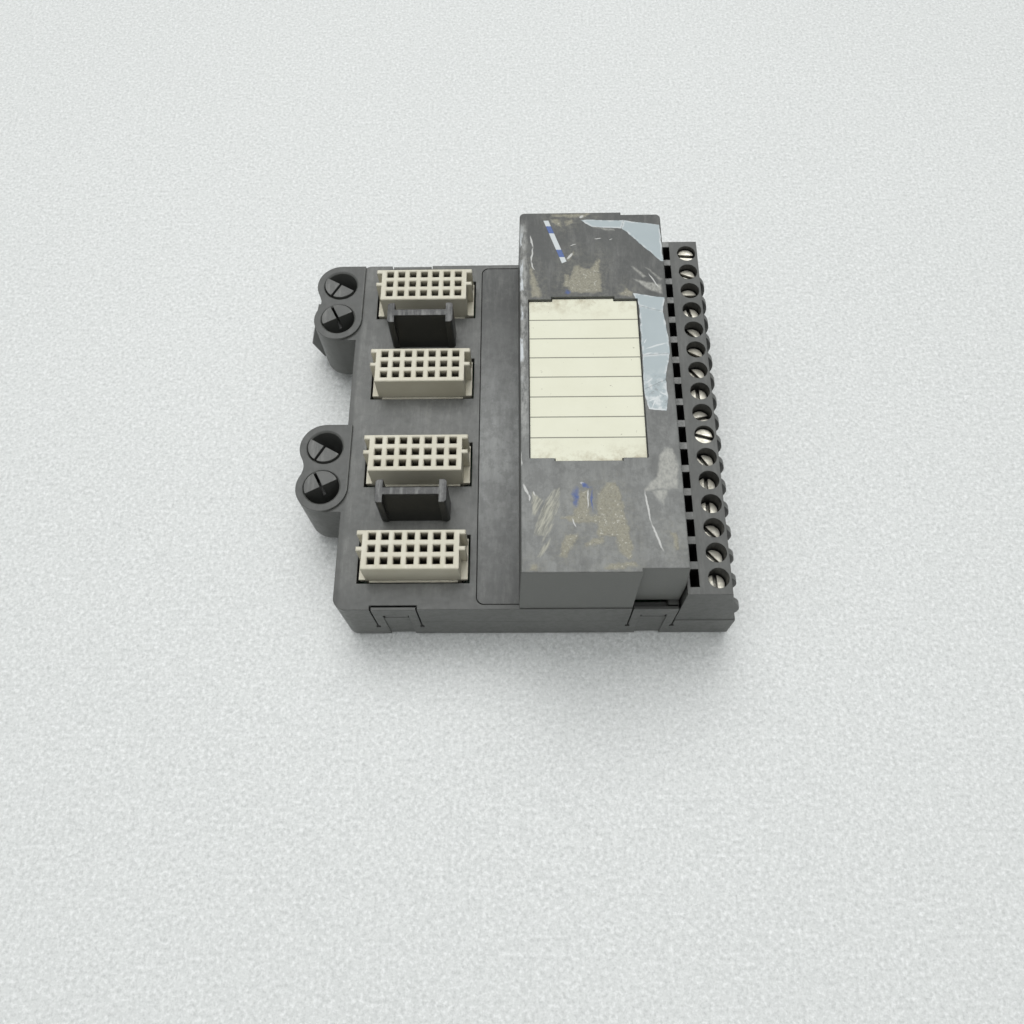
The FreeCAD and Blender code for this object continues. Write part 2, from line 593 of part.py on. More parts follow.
def top_housing():
    """Upper half of the case: plate with openings, key towers, latch finger and clip notches."""
    body = new_body("top_housing")
    outline = new_sketch(body, "XY_Plane", "sizes.base_height")
    rectangle(outline, LEFT, f"-{END}", CASE_RIGHT, END)
    block = pad(body, outline, "sizes.plate_top - sizes.base_height")

    def left_corner(edge):
        return upright(edge) and near(edge.Vertexes[0].X, LEFT)

    dress_edges(body, "Fillet", block, "sizes.case_corner", left_corner)
    inside = new_sketch(body, "XY_Plane", "sizes.base_height")
    rectangle(
        inside,
        f"{LEFT} + sizes.case_wall",
        f"-{END} + sizes.case_wall",
        f"{CASE_RIGHT} - sizes.case_wall",
        f"{END} - sizes.case_wall",
    )
    pocket(body, inside, "sizes.plate_top - sizes.plate_thick - sizes.base_height", backwards=True)
    key_towers(body)
    latch_finger(body)
    key_bores(body)

    openings = new_sketch(body, "XY_Plane", "sizes.plate_top")
    for socket in range(4):
        half_x = f"({COLLAR_HALF_X} + sizes.opening_gap)"
        half_y = f"({COLLAR_HALF_Y} + sizes.lip_reach + sizes.opening_gap)"
        centred(openings, SOCKET_X, socket_y(socket), half_x, half_y)
    for slot in (0, 1):
        half_x = "(sizes.post_width / 2 - sizes.post_flange + sizes.tenon_gap)"
        centred(openings, SOCKET_X, slot_y(slot), half_x, "(sizes.post_web / 2 + sizes.tenon_gap)")
    rectangle(
        openings,
        f"{COVER_LEFT} + sizes.case_wall",
        f"-{END} + 2 * sizes.case_wall",
        f"{CASE_RIGHT} - sizes.case_wall",
        f"{END} - 2 * sizes.case_wall",
    )
    pocket(body, openings, "sizes.plate_thick")
    bed = new_sketch(body, "XY_Plane", "sizes.plate_top")
    rectangle(
        bed,
        f"{PANEL_LEFT} - sizes.panel_seam",
        f"-{PANEL_END} - sizes.panel_seam",
        f"{COVER_LEFT} + sizes.case_wall",
        f"{PANEL_END} + sizes.panel_seam",
    )
    bed_cut = pocket(body, bed, "sizes.panel_thick")

    def bed_corner(edge):
        return upright(edge) and near(edge.Vertexes[0].X, f"{PANEL_LEFT} - sizes.panel_seam")

    dress_edges(body, "Fillet", bed_cut, "sizes.panel_corner", bed_corner)

    notches = new_sketch(body, "XZ_Plane", END)
    hooks = new_sketch(body, "XZ_Plane", f"{END} - {NOTCH_DEPTH}")
    for middle in CLIP_X:
        half = "sizes.clip_width / 2"
        rectangle(notches, f"{middle} - {half}", "sizes.base_height", f"{middle} + {half}", "sizes.plate_top")
        catch = "(sizes.window_width / 2 - sizes.hook_gap)"
        low = "sizes.window_foot + sizes.hook_gap"
        high = "sizes.window_foot + sizes.window_height - sizes.hook_gap"
        rectangle(hooks, f"{middle} - {catch}", low, f"{middle} + {catch}", high)
    notch_cut = pocket(body, notches, NOTCH_DEPTH)
    hook_pad = pad(body, hooks, f"{NOTCH_DEPTH} - sizes.hook_gap")
    gullies = new_sketch(body, "XY_Plane", "sizes.plate_top")
    half = "sizes.clip_width / 2"
    inner = f"-{END} + 2 * sizes.case_wall"
    rectangle(gullies, f"{CLIP_X[1]} - {half}", f"-{END}", f"{CASE_RIGHT} - sizes.case_wall", inner)
    gully_cut = pocket(body, gullies, "sizes.plate_thick")
    mirror_ends(body, [notch_cut, hook_pad, gully_cut])


def card_outline(sketch, gap):
    """Outline of the card with a tab at each end, widened by a gap."""
    left = f"{CARD_LEFT} - {gap}"
    right = f"{CARD_LEFT} + sizes.card_width + {gap}"
    tab_left = f"{CARD_MIDDLE} - sizes.tab_width / 2 - {gap}"
    tab_right = f"{CARD_MIDDLE} + sizes.tab_width / 2 + {gap}"
    end = f"(sizes.card_length / 2 + {gap})"
    tab_end = f"(sizes.card_length / 2 + sizes.tab_reach + {gap})"
    corners = [
        (left, f"-{end}"),
        (tab_left, f"-{end}"),
        (tab_left, f"-{tab_end}"),
        (tab_right, f"-{tab_end}"),
        (tab_right, f"-{end}"),
        (right, f"-{end}"),
        (right, end),
        (tab_right, end),
        (tab_right, tab_end),
        (tab_left, tab_end),
        (tab_left, end),
        (left, end),
    ]
    polygon(sketch, corners)


def field_cover():
    """Raised cover: leaning walls, hollow below, with a flange panel and a pocket for the card."""
    body = new_body("field_cover")
    section = new_sketch(body, "XZ_Plane")
    corners = [
        (COVER_LEFT, "sizes.plate_top"),
        (CASE_RIGHT, "sizes.plate_top"),
        (CASE_RIGHT, "sizes.strip_top"),
        (f"{CASE_RIGHT} - sizes.cover_slope", "sizes.cover_top"),
        (f"{COVER_LEFT} + sizes.cover_draft", "sizes.cover_top"),
    ]
    polygon(section, corners)
    block = pad(body, section, f"2 * {COVER_END}", both_ways=True)
    lean = new_sketch(body, "YZ_Plane", CASE_RIGHT)
    wedge = [
        (f"-{COVER_END}", "sizes.plate_top"),
        (f"-{COVER_END} + sizes.cover_lean", "sizes.cover_top"),
        (f"-{COVER_END}", "sizes.cover_top"),
    ]
    polygon(lean, wedge)
    lean_cut = pocket(body, lean, "sizes.cover_width")
    recess = new_sketch(body, "XY_Plane", "sizes.cover_top")
    set_back = f"-{COVER_END} + sizes.cover_lean + sizes.recess_depth"
    rectangle(recess, f"{CLIP_X[1]} - sizes.clip_width / 2", f"-{END}", STRIP_LEFT, set_back)
    recess_cut = pocket(body, recess, "sizes.cover_top - sizes.plate_top")
    leaned = mirror_ends(body, [lean_cut, recess_cut])

    def back_corner(edge):
        box = edge.BoundBox
        outer = near(box.XMin, COVER_LEFT) or near(box.XMax, CASE_RIGHT)
        return box.YMin > 0 and outer and box.ZLength > box.YLength

    cornered = dress_edges(body, "Fillet", leaned, "sizes.cover_corner", back_corner)

    def top_edge(edge):
        return near(edge.BoundBox.ZMin, "sizes.cover_top")

    dress_edges(body, "Fillet", cornered, "sizes.cover_edge", top_edge)
    hollow = new_sketch(body, "XY_Plane", "sizes.plate_top")
    inner_end = f"({COVER_END} - sizes.cover_lean - sizes.recess_depth - sizes.cover_wall)"
    rectangle(
        hollow,
        f"{COVER_LEFT} + sizes.cover_draft + sizes.cover_wall",
        f"-{inner_end}",
        f"{CASE_RIGHT} - sizes.cover_slope - sizes.cover_wall",
        inner_end,
    )
    roof = "sizes.cover_wall + sizes.pocket_depth"
    pocket(body, hollow, f"sizes.cover_top - sizes.plate_top - ({roof})", backwards=True)
    well = new_sketch(body, "XY_Plane", "sizes.cover_top")
    card_outline(well, "sizes.card_gap")
    pocket(body, well, "sizes.pocket_depth")
    windows = new_sketch(body, "XZ_Plane", END)
    half = "sizes.clip_width / 2"
    head = "sizes.plate_top + sizes.recess_window"
    rectangle(windows, f"{CLIP_X[1]} - {half}", "sizes.plate_top", f"{CLIP_X[1]} + {half}", head)
    deep = "sizes.cover_inset + sizes.cover_lean + sizes.recess_depth + sizes.cover_wall"
    window_cut = pocket(body, windows, deep)
    mirror_ends(body, [window_cut])
    panel = new_sketch(body, "XY_Plane", "sizes.plate_top - sizes.panel_thick")
    rectangle(panel, PANEL_LEFT, f"-{PANEL_END}", f"{COVER_LEFT} + sizes.cover_wall", PANEL_END)
    panel_pad = pad(body, panel, "sizes.panel_thick")

    def panel_corner(edge):
        return upright(edge) and near(edge.Vertexes[0].X, PANEL_LEFT)

    dress_edges(body, "Fillet", panel_pad, "sizes.panel_corner", panel_corner)


def label_card():
    """Writing card that lies in the cover's pocket."""
    body = new_body("label_card")
    outline = new_sketch(body, "XY_Plane", "sizes.cover_top - sizes.pocket_depth")
    card_outline(outline, "0")
    pad(body, outline, "sizes.card_thick")


def circuit_board():
    """Board on the base's ledges, level with the parting line, under the sockets and the terminal boxes."""
    body = new_body("circuit_board")
    outline = new_sketch(body, "XY_Plane", BOARD_SEAT)
    half_x = f"({RIGHT} - sizes.case_wall - sizes.board_gap)"
    centred(outline, "0", "0", half_x, f"({END} - sizes.case_wall - sizes.board_gap)")
    pad(body, outline, "sizes.board_thick")


def terminal_strip():
    """Insulating body of the screw terminals: screw holes, probe slots, wire entries and fins."""
    body = new_body("terminal_strip")
    section = new_sketch(body, "XZ_Plane", "-sizes.screw_shift")
    flat_end = f"{STRIP_LEFT} + sizes.strip_flat"
    brow = f"{RIGHT} - sizes.brow_reach"
    corners = [
        (STRIP_LEFT, "sizes.base_height"),
        (RIGHT, "sizes.base_height"),
        (brow, "sizes.brow_height"),
        (flat_end, "sizes.strip_top"),
        (STRIP_LEFT, "sizes.strip_top"),
    ]
    polygon(section, corners)
    pad(body, section, f"2 * {STRIP_HALF}", both_ways=True)
    fin = wire_fin(body)
    chamber = new_sketch(body, "XY_Plane", "sizes.base_height")
    rectangle(
        chamber,
        f"{SCREW_X} - sizes.box_left - sizes.box_gap",
        f"{FIRST_SCREW_Y} - {CHAMBER_WIDTH} / 2",
        f"{SCREW_X} + sizes.box_right + sizes.box_gap",
        f"{FIRST_SCREW_Y} + {CHAMBER_WIDTH} / 2",
    )
    chamber_cut = pocket(body, chamber, "sizes.box_top - sizes.base_height", backwards=True)
    hole = new_sketch(body, "XY_Plane", "sizes.strip_top")
    circle(hole, SCREW_X, FIRST_SCREW_Y, "sizes.head_radius + sizes.head_gap")
    hole_cut = pocket(body, hole, "sizes.strip_top - sizes.box_top")
    probe = new_sketch(body, "XY_Plane", "sizes.strip_top")
    probe_x = f"({SCREW_X} - sizes.probe_inset)"
    centred(probe, probe_x, FIRST_SCREW_Y, "sizes.probe_width / 2", "sizes.probe_length / 2")
    probe_cut = pocket(body, probe, "sizes.probe_depth")
    entry = new_sketch(body, "YZ_Plane", RIGHT)
    entry_z = "(sizes.entry_foot + sizes.entry_height / 2)"
    centred(entry, FIRST_SCREW_Y, entry_z, "sizes.entry_width / 2", "sizes.entry_height / 2")
    entry_cut = pocket(body, entry, "sizes.screw_inset - sizes.box_right")
    repeat_terminals(body, [fin, chamber_cut, hole_cut, probe_cut, entry_cut])


def wire_fin(body):
    """First rounded fin of the wire face, in front of the first terminal."""
    place = f"({FIRST_SCREW_Y} - sizes.screw_pitch / 2)"
    profile = new_sketch(body, "XZ_Plane", f"-{place}")
    run = "(sizes.strip_width - sizes.brow_reach - sizes.strip_flat)"
    slope = f"({run} / (sizes.strip_top - sizes.brow_height))"
    face_top = f"({STRIP_LEFT} + sizes.strip_flat + {slope} * (sizes.strip_top - sizes.fin_top))"
    lower = "(sizes.brow_reach / (sizes.brow_height - sizes.base_height))"
    face_foot = f"({RIGHT} - {lower} * (sizes.fin_foot - sizes.base_height))"
    tip_x = f"(({face_top} + {face_foot}) / 2 + sizes.fin_reach)"
    tip_z = "((sizes.fin_top + sizes.fin_foot) / 2)"
    upper = FreeCAD.Vector(number(face_top), number("sizes.fin_top"), 0)
    tip = FreeCAD.Vector(number(tip_x), number(tip_z), 0)
    foot = FreeCAD.Vector(number(face_foot), number("sizes.fin_foot"), 0)
    root = f"{SCREW_X} + sizes.box_right + sizes.box_gap"
    root_top = FreeCAD.Vector(number(root), upper.y, 0)
    root_foot = FreeCAD.Vector(number(root), foot.y, 0)
    arc = sketch_arc(profile, foot, tip, upper)
    pin_point(profile, arc, 1, face_foot, "sizes.fin_foot")
    pin_point(profile, arc, 2, face_top, "sizes.fin_top")
    back_top = profile.addGeometry(Part.LineSegment(upper, root_top), False)
    back = profile.addGeometry(Part.LineSegment(root_top, root_foot), False)
    back_foot = profile.addGeometry(Part.LineSegment(root_foot, foot), False)
    pin_point(profile, back, 1, root, "sizes.fin_top")
    pin_point(profile, back, 2, root, "sizes.fin_foot")
    profile.addConstraint(Sketcher.Constraint("Coincident", arc, 2, back_top, 1))
    profile.addConstraint(Sketcher.Constraint("Coincident", back_top, 2, back, 1))
    profile.addConstraint(Sketcher.Constraint("Coincident", back, 2, back_foot, 1))
    profile.addConstraint(Sketcher.Constraint("Coincident", back_foot, 2, arc, 1))
    return pad(body, profile, "sizes.fin_thick", both_ways=True)


def sketch_arc(sketch, start, middle, end):
    """An arc through three points, run anticlockwise."""
    return sketch.addGeometry(Part.Arc(start, middle, end), False)


def terminal_cages():
    """Brass terminal hooks on the board: a floor for the wire, a back and a jaw on the thread."""
    body = new_body("terminal_cages")
    section = new_sketch(body, "XZ_Plane", f"-{FIRST_SCREW_Y}")
    left = f"{SCREW_X} - sizes.box_left"
    right = f"{SCREW_X} + sizes.box_right"
    grip = "(sizes.thread_radius + sizes.thread_gap)"
    jaw = "sizes.box_top - sizes.box_head"
    corners = [
        (left, BOARD_TOP),
        (right, BOARD_TOP),
        (right, "sizes.box_floor"),
        (f"{left} + sizes.box_wall", "sizes.box_floor"),
        (f"{left} + sizes.box_wall", jaw),
        (f"{SCREW_X} - {grip}", jaw),
        (f"{SCREW_X} - {grip}", "sizes.box_top"),
        (left, "sizes.box_top"),
    ]
    polygon(section, corners)
    hook = pad(body, section, BOX_WIDTH, both_ways=True)
    repeat_terminals(body, [hook])


def place_terminal_piece(body, terminal, height):
    """Set a screw or pressure foot on its terminal's axis at a height."""
    body.setExpression("Placement.Base.x", SCREW_X)
    body.setExpression("Placement.Base.y", f"{FIRST_SCREW_Y} + {terminal} * sizes.screw_pitch")
    body.setExpression("Placement.Base.z", height)


def terminal_screw(terminal):
    """Slotted clamping screw, turned in one profile; its head's top is at zero."""
    body = new_body(f"terminal_screw_{terminal + 1:02d}")
    profile = new_sketch(body, "XZ_Plane")
    under_head = "-sizes.head_height"
    tip = "(-sizes.head_height - sizes.thread_length)"
    corners = [
        ("0", "0"),
        ("0", tip),
        ("sizes.thread_radius", tip),
        ("sizes.thread_radius", under_head),
        ("sizes.head_radius", under_head),
        ("sizes.head_radius", "0"),
    ]
    polygon(profile, corners)
    turned = body.newObject("PartDesign::Revolution", f"{body.Name}_turned")
    turned.Profile = profile
    turned.ReferenceAxis = (profile, ["V_Axis"])
    turned.Angle = 360
    slot = new_sketch(body, "XY_Plane")
    centred(slot, "0", "0", "(2 * sizes.head_radius)", "sizes.driver_slot / 2")
    pocket(body, slot, "sizes.driver_depth")
    body.Placement = FreeCAD.Placement(FreeCAD.Vector(), FreeCAD.Rotation(FreeCAD.Vector(0, 0, 1), 1))
    body.setExpression("Placement.Rotation.Angle", f"sizes.turn_{terminal + 1:02d} * 1 deg")
    place_terminal_piece(body, terminal, f"sizes.strip_top - sizes.depth_{terminal + 1:02d}")


def wire_clamp(terminal):
    """Pressure foot with one end turned up, under the screw's tip; its seat is at zero."""
    body = new_body(f"wire_clamp_{terminal + 1:02d}")
    profile = new_sketch(body, "XZ_Plane")
    left = "-(sizes.box_left - sizes.box_wall - sizes.foot_gap)"
    inner = "(sizes.thread_radius + sizes.foot_gap)"
    right = f"({inner} + sizes.foot_thick)"
    corners = [
        (left, "-sizes.foot_thick"),
        (right, "-sizes.foot_thick"),
        (right, "sizes.foot_lip"),
        (inner, "sizes.foot_lip"),
        (inner, "0"),
        (left, "0"),
    ]
    polygon(profile, corners)
    pad(body, profile, f"{BOX_WIDTH} - 2 * sizes.foot_gap", both_ways=True)
    seat = f"sizes.strip_top - sizes.depth_{terminal + 1:02d} - sizes.head_height - sizes.thread_length"
    place_terminal_piece(body, terminal, seat)


def socket_connector(socket):
    """Socket block that stands on the board through the housing, modelled round its own middle."""
    body = new_body(f"socket_connector_{socket + 1}")
    block = new_sketch(body, "XY_Plane", BOARD_TOP)
    front = f"-{COLLAR_HALF_Y}"
    rectangle(block, f"-{SOCKET_HALF_X}", front, SOCKET_HALF_X, SOCKET_HALF_Y)
    pad(body, block, f"sizes.socket_top - {BOARD_TOP}")
    collar = new_sketch(body, "XY_Plane", f"{COLLAR_TOP} - sizes.collar_thick")
    centred(collar, "0", "0", COLLAR_HALF_X, COLLAR_HALF_Y)
    pad(body, collar, "sizes.collar_thick")
    lip = new_sketch(body, "XY_Plane", f"{COLLAR_TOP} - sizes.collar_thick")
    centred(lip, "0", "0", f"({SOCKET_HALF_X} - sizes.way_pitch / 4)", f"({COLLAR_HALF_Y} + sizes.lip_reach)")
    pad(body, lip, "sizes.collar_thick / 2")
    ribs = new_sketch(body, "XY_Plane", COLLAR_TOP)
    wide = f"({SOCKET_HALF_X} + sizes.ear_reach)"
    rectangle(ribs, f"-{wide}", f"{SOCKET_HALF_Y} - sizes.ear_thick", wide, SOCKET_HALF_Y)
    centred(ribs, "0", "0", wide, "sizes.ear_thick / 2")
    pad(body, ribs, f"sizes.socket_top - {COLLAR_TOP}")
    first_x = "(-(sizes.socket_columns - 1) * sizes.way_pitch / 2)"
    first_y = "(-(sizes.socket_rows - 1) * sizes.way_pitch / 2)"
    way = new_sketch(body, "XY_Plane", "sizes.socket_top")
    centred(way, first_x, first_y, "sizes.way_bore / 2", "sizes.way_bore / 2")
    way_cut = pocket(body, way, "sizes.way_depth")
    grid = repeat_ways(body, [way_cut])

    def way_mouth(edge):
        box = edge.BoundBox
        short = edge.Length < number("sizes.way_bore") + 1e-4
        return near(box.ZMin, "sizes.socket_top") and (short or near(box.YMax, front))

    dress_edges(body, "Chamfer", grid, "(sizes.way_mouth - sizes.way_bore) / 2", way_mouth)
    body.setExpression("Placement.Base.x", SOCKET_X)
    body.setExpression("Placement.Base.y", socket_y(socket))


def socket_contacts(socket):
    """Spring contacts standing in the ways of one socket, as separate solids."""
    body = new_body(f"socket_contacts_{socket + 1}")
    floor = "(sizes.socket_top - sizes.way_depth)"
    first_x = "(-(sizes.socket_columns - 1) * sizes.way_pitch / 2)"
    first_y = "(-(sizes.socket_rows - 1) * sizes.way_pitch / 2)"
    shank = new_sketch(body, "XY_Plane", floor)
    centred(shank, first_x, first_y, "sizes.contact_width / 2", "sizes.contact_width / 2")
    shank_pad = pad(body, shank, "sizes.contact_height")
    repeat_ways(body, [shank_pad])
    body.setExpression("Placement.Base.x", SOCKET_X)
    body.setExpression("Placement.Base.y", socket_y(socket))


def guide_post(slot):
    """Black post of H section on the plate, its web widened to the foot, with a tenon through the plate."""
    body = new_body(f"guide_post_{slot + 1}")
    section = new_sketch(body, "XY_Plane", "sizes.plate_top")
    wide = "sizes.post_width / 2"
    inner = "(sizes.post_width / 2 - sizes.post_flange)"
    deep = "sizes.post_depth / 2"
    web = "sizes.post_web / 2"
    corners = [
        (f"-{wide}", f"-{deep}"),
        (f"-{inner}", f"-{deep}"),
        (f"-{inner}", f"-{web}"),
        (inner, f"-{web}"),
        (inner, f"-{deep}"),
        (wide, f"-{deep}"),
        (wide, deep),
        (inner, deep),
        (inner, web),
        (f"-{inner}", web),
        (f"-{inner}", deep),
        (f"-{wide}", deep),
    ]
    polygon(section, corners)
    column = pad(body, section, "sizes.post_top - sizes.plate_top")

    def flange_corner(edge):
        return upright(edge) and abs(abs(edge.Vertexes[0].X) - number(wide)) < 1e-4

    dress_edges(body, "Fillet", column, "sizes.post_round", flange_corner)
    wedges = new_sketch(body, "YZ_Plane")
    for side in ("", "-"):
        wedge = [
            (f"{side}{web}", "sizes.plate_top"),
            (f"{side}({deep} - sizes.post_inset)", "sizes.plate_top"),
            (f"{side}{web}", "sizes.post_top - sizes.post_drop"),
        ]
        polygon(wedges, wedge)
    pad(body, wedges, f"2 * {inner}", both_ways=True)
    tenon = new_sketch(body, "XY_Plane", "sizes.plate_top")
    centred(tenon, "0", "0", inner, web)
    pad(body, tenon, "sizes.plate_thick + sizes.tenon_reach", backwards=True)
    body.setExpression("Placement.Base.x", SOCKET_X)
    body.setExpression("Placement.Base.y", slot_y(slot))


def coding_key(key):
    """Half-round plug, split by a slit; its open half faces away from the slit."""
    body = new_body(f"coding_key_{key + 1}")
    foot = "(sizes.key_seat + sizes.key_play)"
    radius = "(sizes.key_bore - sizes.key_gap)"
    half = new_sketch(body, "XY_Plane", foot)
    size = number(radius)
    disc = Part.Circle(FreeCAD.Vector(), FreeCAD.Vector(0, 0, 1), size)
    arc = half.addGeometry(Part.ArcOfCircle(disc, -math.pi / 2, math.pi / 2), False)
    flat = half.addGeometry(Part.LineSegment(FreeCAD.Vector(0, size, 0), FreeCAD.Vector(0, -size, 0)), False)
    half.addConstraint(Sketcher.Constraint("Coincident", arc, 2, flat, 1))
    half.addConstraint(Sketcher.Constraint("Coincident", flat, 2, arc, 1))
    pin_point(half, arc, 3, "0", "0")
    pin_point(half, flat, 1, "0", radius)
    half.addConstraint(Sketcher.Constraint("Vertical", flat))
    top = f"({TOWER_TOP} + sizes.key_rise)"
    pad(body, half, f"{top} - {foot}")
    slit = new_sketch(body, "XY_Plane", top)
    rectangle(slit, "0", "-sizes.key_slit / 2", "sizes.key_bore", "sizes.key_slit / 2")
    pocket(body, slit, "sizes.key_slit_depth")
    body.Placement = FreeCAD.Placement(FreeCAD.Vector(), FreeCAD.Rotation(FreeCAD.Vector(0, 0, 1), 1))
    body.setExpression("Placement.Rotation.Angle", f"sizes.key_turn_{key + 1} * 1 deg")
    body.setExpression("Placement.Base.x", KEY_X)
    body.setExpression("Placement.Base.y", key_y(key))


def check_features():
    """Stop if any object failed, or if a cut or an addition changed nothing."""
    for item in doc.Objects:
        if "Invalid" in item.State or "Error" in item.State:
            raise RuntimeError(f"{item.Label} failed: {item.State}")
        base = getattr(item, "BaseFeature", None)
        if base is None or not hasattr(item, "Profile"):
            continue
        change = item.Shape.Volume - base.Shape.Volume
        if abs(change) < 1e-6:
            raise RuntimeError(f"{item.Label} changes nothing")
    for body in bodies:
        if body.Shape.isNull() or not body.Shape.isValid():
            raise RuntimeError(f"{body.Label} has no valid shape")


def main():
    """Build every sub-part, check it and write it to its file."""
    fill_sheet()
    base_tray()
    top_housing()
    field_cover()
    label_card()
    circuit_board()
    terminal_strip()
    terminal_cages()
    for terminal in range(int(number("sizes.screw_count"))):
        terminal_screw(terminal)
        wire_clamp(terminal)
    for socket in range(4):
        socket_connector(socket)
        socket_contacts(socket)
    for slot in (0, 1):
        guide_post(slot)
    for key in range(4):
        coding_key(key)
    doc.recompute()
    check_features()
    os.makedirs("parts", exist_ok=True)
    for body in bodies:
        body.Shape.exportStep(f"parts/{body.Label}.step")


main()
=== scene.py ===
import math

import bpy
from mathutils import Matrix, Vector


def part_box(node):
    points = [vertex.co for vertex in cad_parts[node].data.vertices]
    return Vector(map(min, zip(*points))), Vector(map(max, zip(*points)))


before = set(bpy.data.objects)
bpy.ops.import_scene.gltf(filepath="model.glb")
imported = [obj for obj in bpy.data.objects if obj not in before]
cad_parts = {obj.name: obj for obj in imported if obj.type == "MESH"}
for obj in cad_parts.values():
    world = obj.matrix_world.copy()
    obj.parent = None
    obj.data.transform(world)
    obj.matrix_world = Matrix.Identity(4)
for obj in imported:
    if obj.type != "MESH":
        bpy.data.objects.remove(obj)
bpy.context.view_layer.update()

MM = 0.001

# Camera of the photograph
CAMERA_PLACE = Vector((-2.03, -91.70, 178.78)) * MM
CAMERA_PITCH = 1.158
CAMERA_YAW = -0.041
CAMERA_ROLL = -0.044
CAMERA_LENS = 30.31
SENSOR_WIDTH = 36.0
CAMERA_CLIP = (0.005, 50.0)

# Dirt on the cover's top: corners of its patches, anticlockwise (mm)
GLUE = [
    [(10.7, -26.4), (10.9, -29.0), (15.9, -29.0), (15.4, -24.9), (14.5, -23.2), (12.8, -23.1), (11.6, -24.6)],
    [(10.7, -34.1), (16.5, -33.9), (16.5, -32.4), (15.6, -27.6), (10.9, -27.6)],
    [(13.3, -32.3), (14.5, -36.6), (15.8, -38.3), (16.7, -38.1), (17.0, -35.9), (16.3, -32.3)],
    [(3.8, -30.3), (6.7, -31.4), (11.8, -31.2), (11.8, -29.6), (6.3, -29.5)],
    [(8.2, -35.3), (8.6, -36.0), (11.7, -35.1), (11.8, -33.7), (10.1, -34.2)],
    [(3.7, -37.6), (5.2, -38.0), (7.5, -33.2), (5.0, -33.4), (4.1, -35.2)],
    [(11.5, -40.2), (14.1, -40.3), (17.7, -39.5), (17.2, -38.6), (14.2, -38.9), (12.1, -39.4)],
    [(-1.4, -40.4), (0.2, -40.4), (-0.4, -39.0), (-1.4, -39.1)],
    [(6.1, -30.5), (9.5, -30.5), (9.4, -24.6), (7.7, -24.8)],
    [(23.8, -32.8), (24.0, -35.1), (24.4, -36.8), (25.3, -36.6), (24.9, -33.3)],
    [(6.5, 21.9), (7.3, 19.6), (13.7, 19.6), (13.9, 24.6), (9.1, 26.7), (8.1, 26.4)],
    [(11.1, 24.6), (13.5, 24.6), (13.8, 27.9), (13.5, 28.6), (11.1, 25.4)],
    [(5.9, 21.1), (7.3, 21.1), (7.5, 22.9), (6.8, 24.7), (6.0, 24.4)],
    [(3.6, 38.9), (3.8, 38.0), (5.6, 36.6), (6.1, 37.4), (5.3, 39.0)],
    [(6.5, 38.2), (6.7, 37.0), (8.2, 37.7), (8.6, 38.5), (7.8, 39.3)],
    [(6.7, 28.5), (7.2, 27.7), (8.6, 30.0), (8.2, 30.3)],
    [(-1.1, 27.3), (-0.8, 18.5), (1.4, 18.7), (0.8, 22.5), (-0.3, 25.8)],
    [(17.1, 19.3), (17.3, 18.8), (19.9, 18.7), (19.9, 19.7), (18.6, 20.7)],
    [(3.8, 40.3), (4.0, 39.7), (10.3, 39.2), (12.2, 40.0), (12.0, 40.6)],
]
SMEARS = [
    [
        (22.0, -24.5), (24.1, -24.7), (25.8, -24.5), (26.3, -19.5),
        (25.4, -16.2), (24.0, -15.9), (22.8, -17.6), (22.1, -21.6),
    ],
    [(19.4, -24.7), (19.7, -25.1), (24.1, -24.5), (22.6, -21.7), (20.8, -23.0)],
    [(20.7, -24.9), (22.1, -26.8), (22.9, -27.8), (23.8, -25.6), (23.9, -24.5)],
    [(19.9, 26.2), (22.3, 23.2), (23.0, 23.7), (20.5, 26.2)],
    [(22.7, 26.1), (25.7, 22.4), (26.2, 22.9), (23.3, 25.9)],
    [(20.1, 23.2), (22.8, 20.4), (26.1, 19.1), (25.9, 21.6)],
    [(12.3, 36.9), (12.5, 36.5), (15.4, 35.7), (17.1, 35.7), (16.9, 36.2)],
]
SCRAPES = [
    [
        (-0.7, -33.6), (1.1, -33.6), (2.8, -30.7), (4.0, -27.3),
        (4.1, -24.3), (2.9, -24.8), (1.6, -26.8), (0.1, -30.5),
    ],
    [(0.0, -37.8), (0.3, -37.8), (1.9, -35.8), (2.1, -34.5), (0.8, -35.8)],
    [(0.9, -34.9), (1.9, -33.4), (2.8, -31.4), (2.4, -31.4), (1.1, -34.1)],
    [(-0.9, -29.6), (-0.3, -29.6), (1.0, -26.8), (-0.9, -25.0)],
]
SCRAPE_WAY = Vector((-0.43, -0.90, 0.0))
# Strokes on the cover's top: start x, start y, end x, end y and half width (mm)
SCRATCHES = [
    (-2.5, -23.2, -1.5, -25.9, 0.30),
    (-1.5, -25.4, -1.4, -27.0, 0.17),
    (-0.8, -24.7, -0.4, -26.0, 0.14),
    (-3.0, -16.6, -2.9, -19.8, 0.26),
    (9.4, -24.3, 9.2, -28.7, 0.17),
    (7.9, -23.1, 8.7, -23.4, 0.30),
    (6.2, -30.2, 6.9, -32.2, 0.17),
    (19.6, -24.6, 20.5, -31.7, 0.22),
    (20.3, -31.0, 22.4, -37.0, 0.24),
    (-0.9, 34.8, -0.2, 31.2, 0.20),
    (-0.2, 31.8, -0.8, 27.2, 0.20),
    (-0.7, 27.8, 0.0, 25.4, 0.19),
    (23.3, 24.6, 25.4, 20.6, 0.17),
    (7.4, 31.8, 9.0, 32.3, 0.13),
    (12.5, 33.4, 14.3, 33.8, 0.11),
    (15.6, 33.2, 16.5, 33.5, 0.11),
    (6.7, 28.1, 8.0, 30.0, 0.30),
    (9.6, 39.3, 10.6, 39.9, 0.34),
]
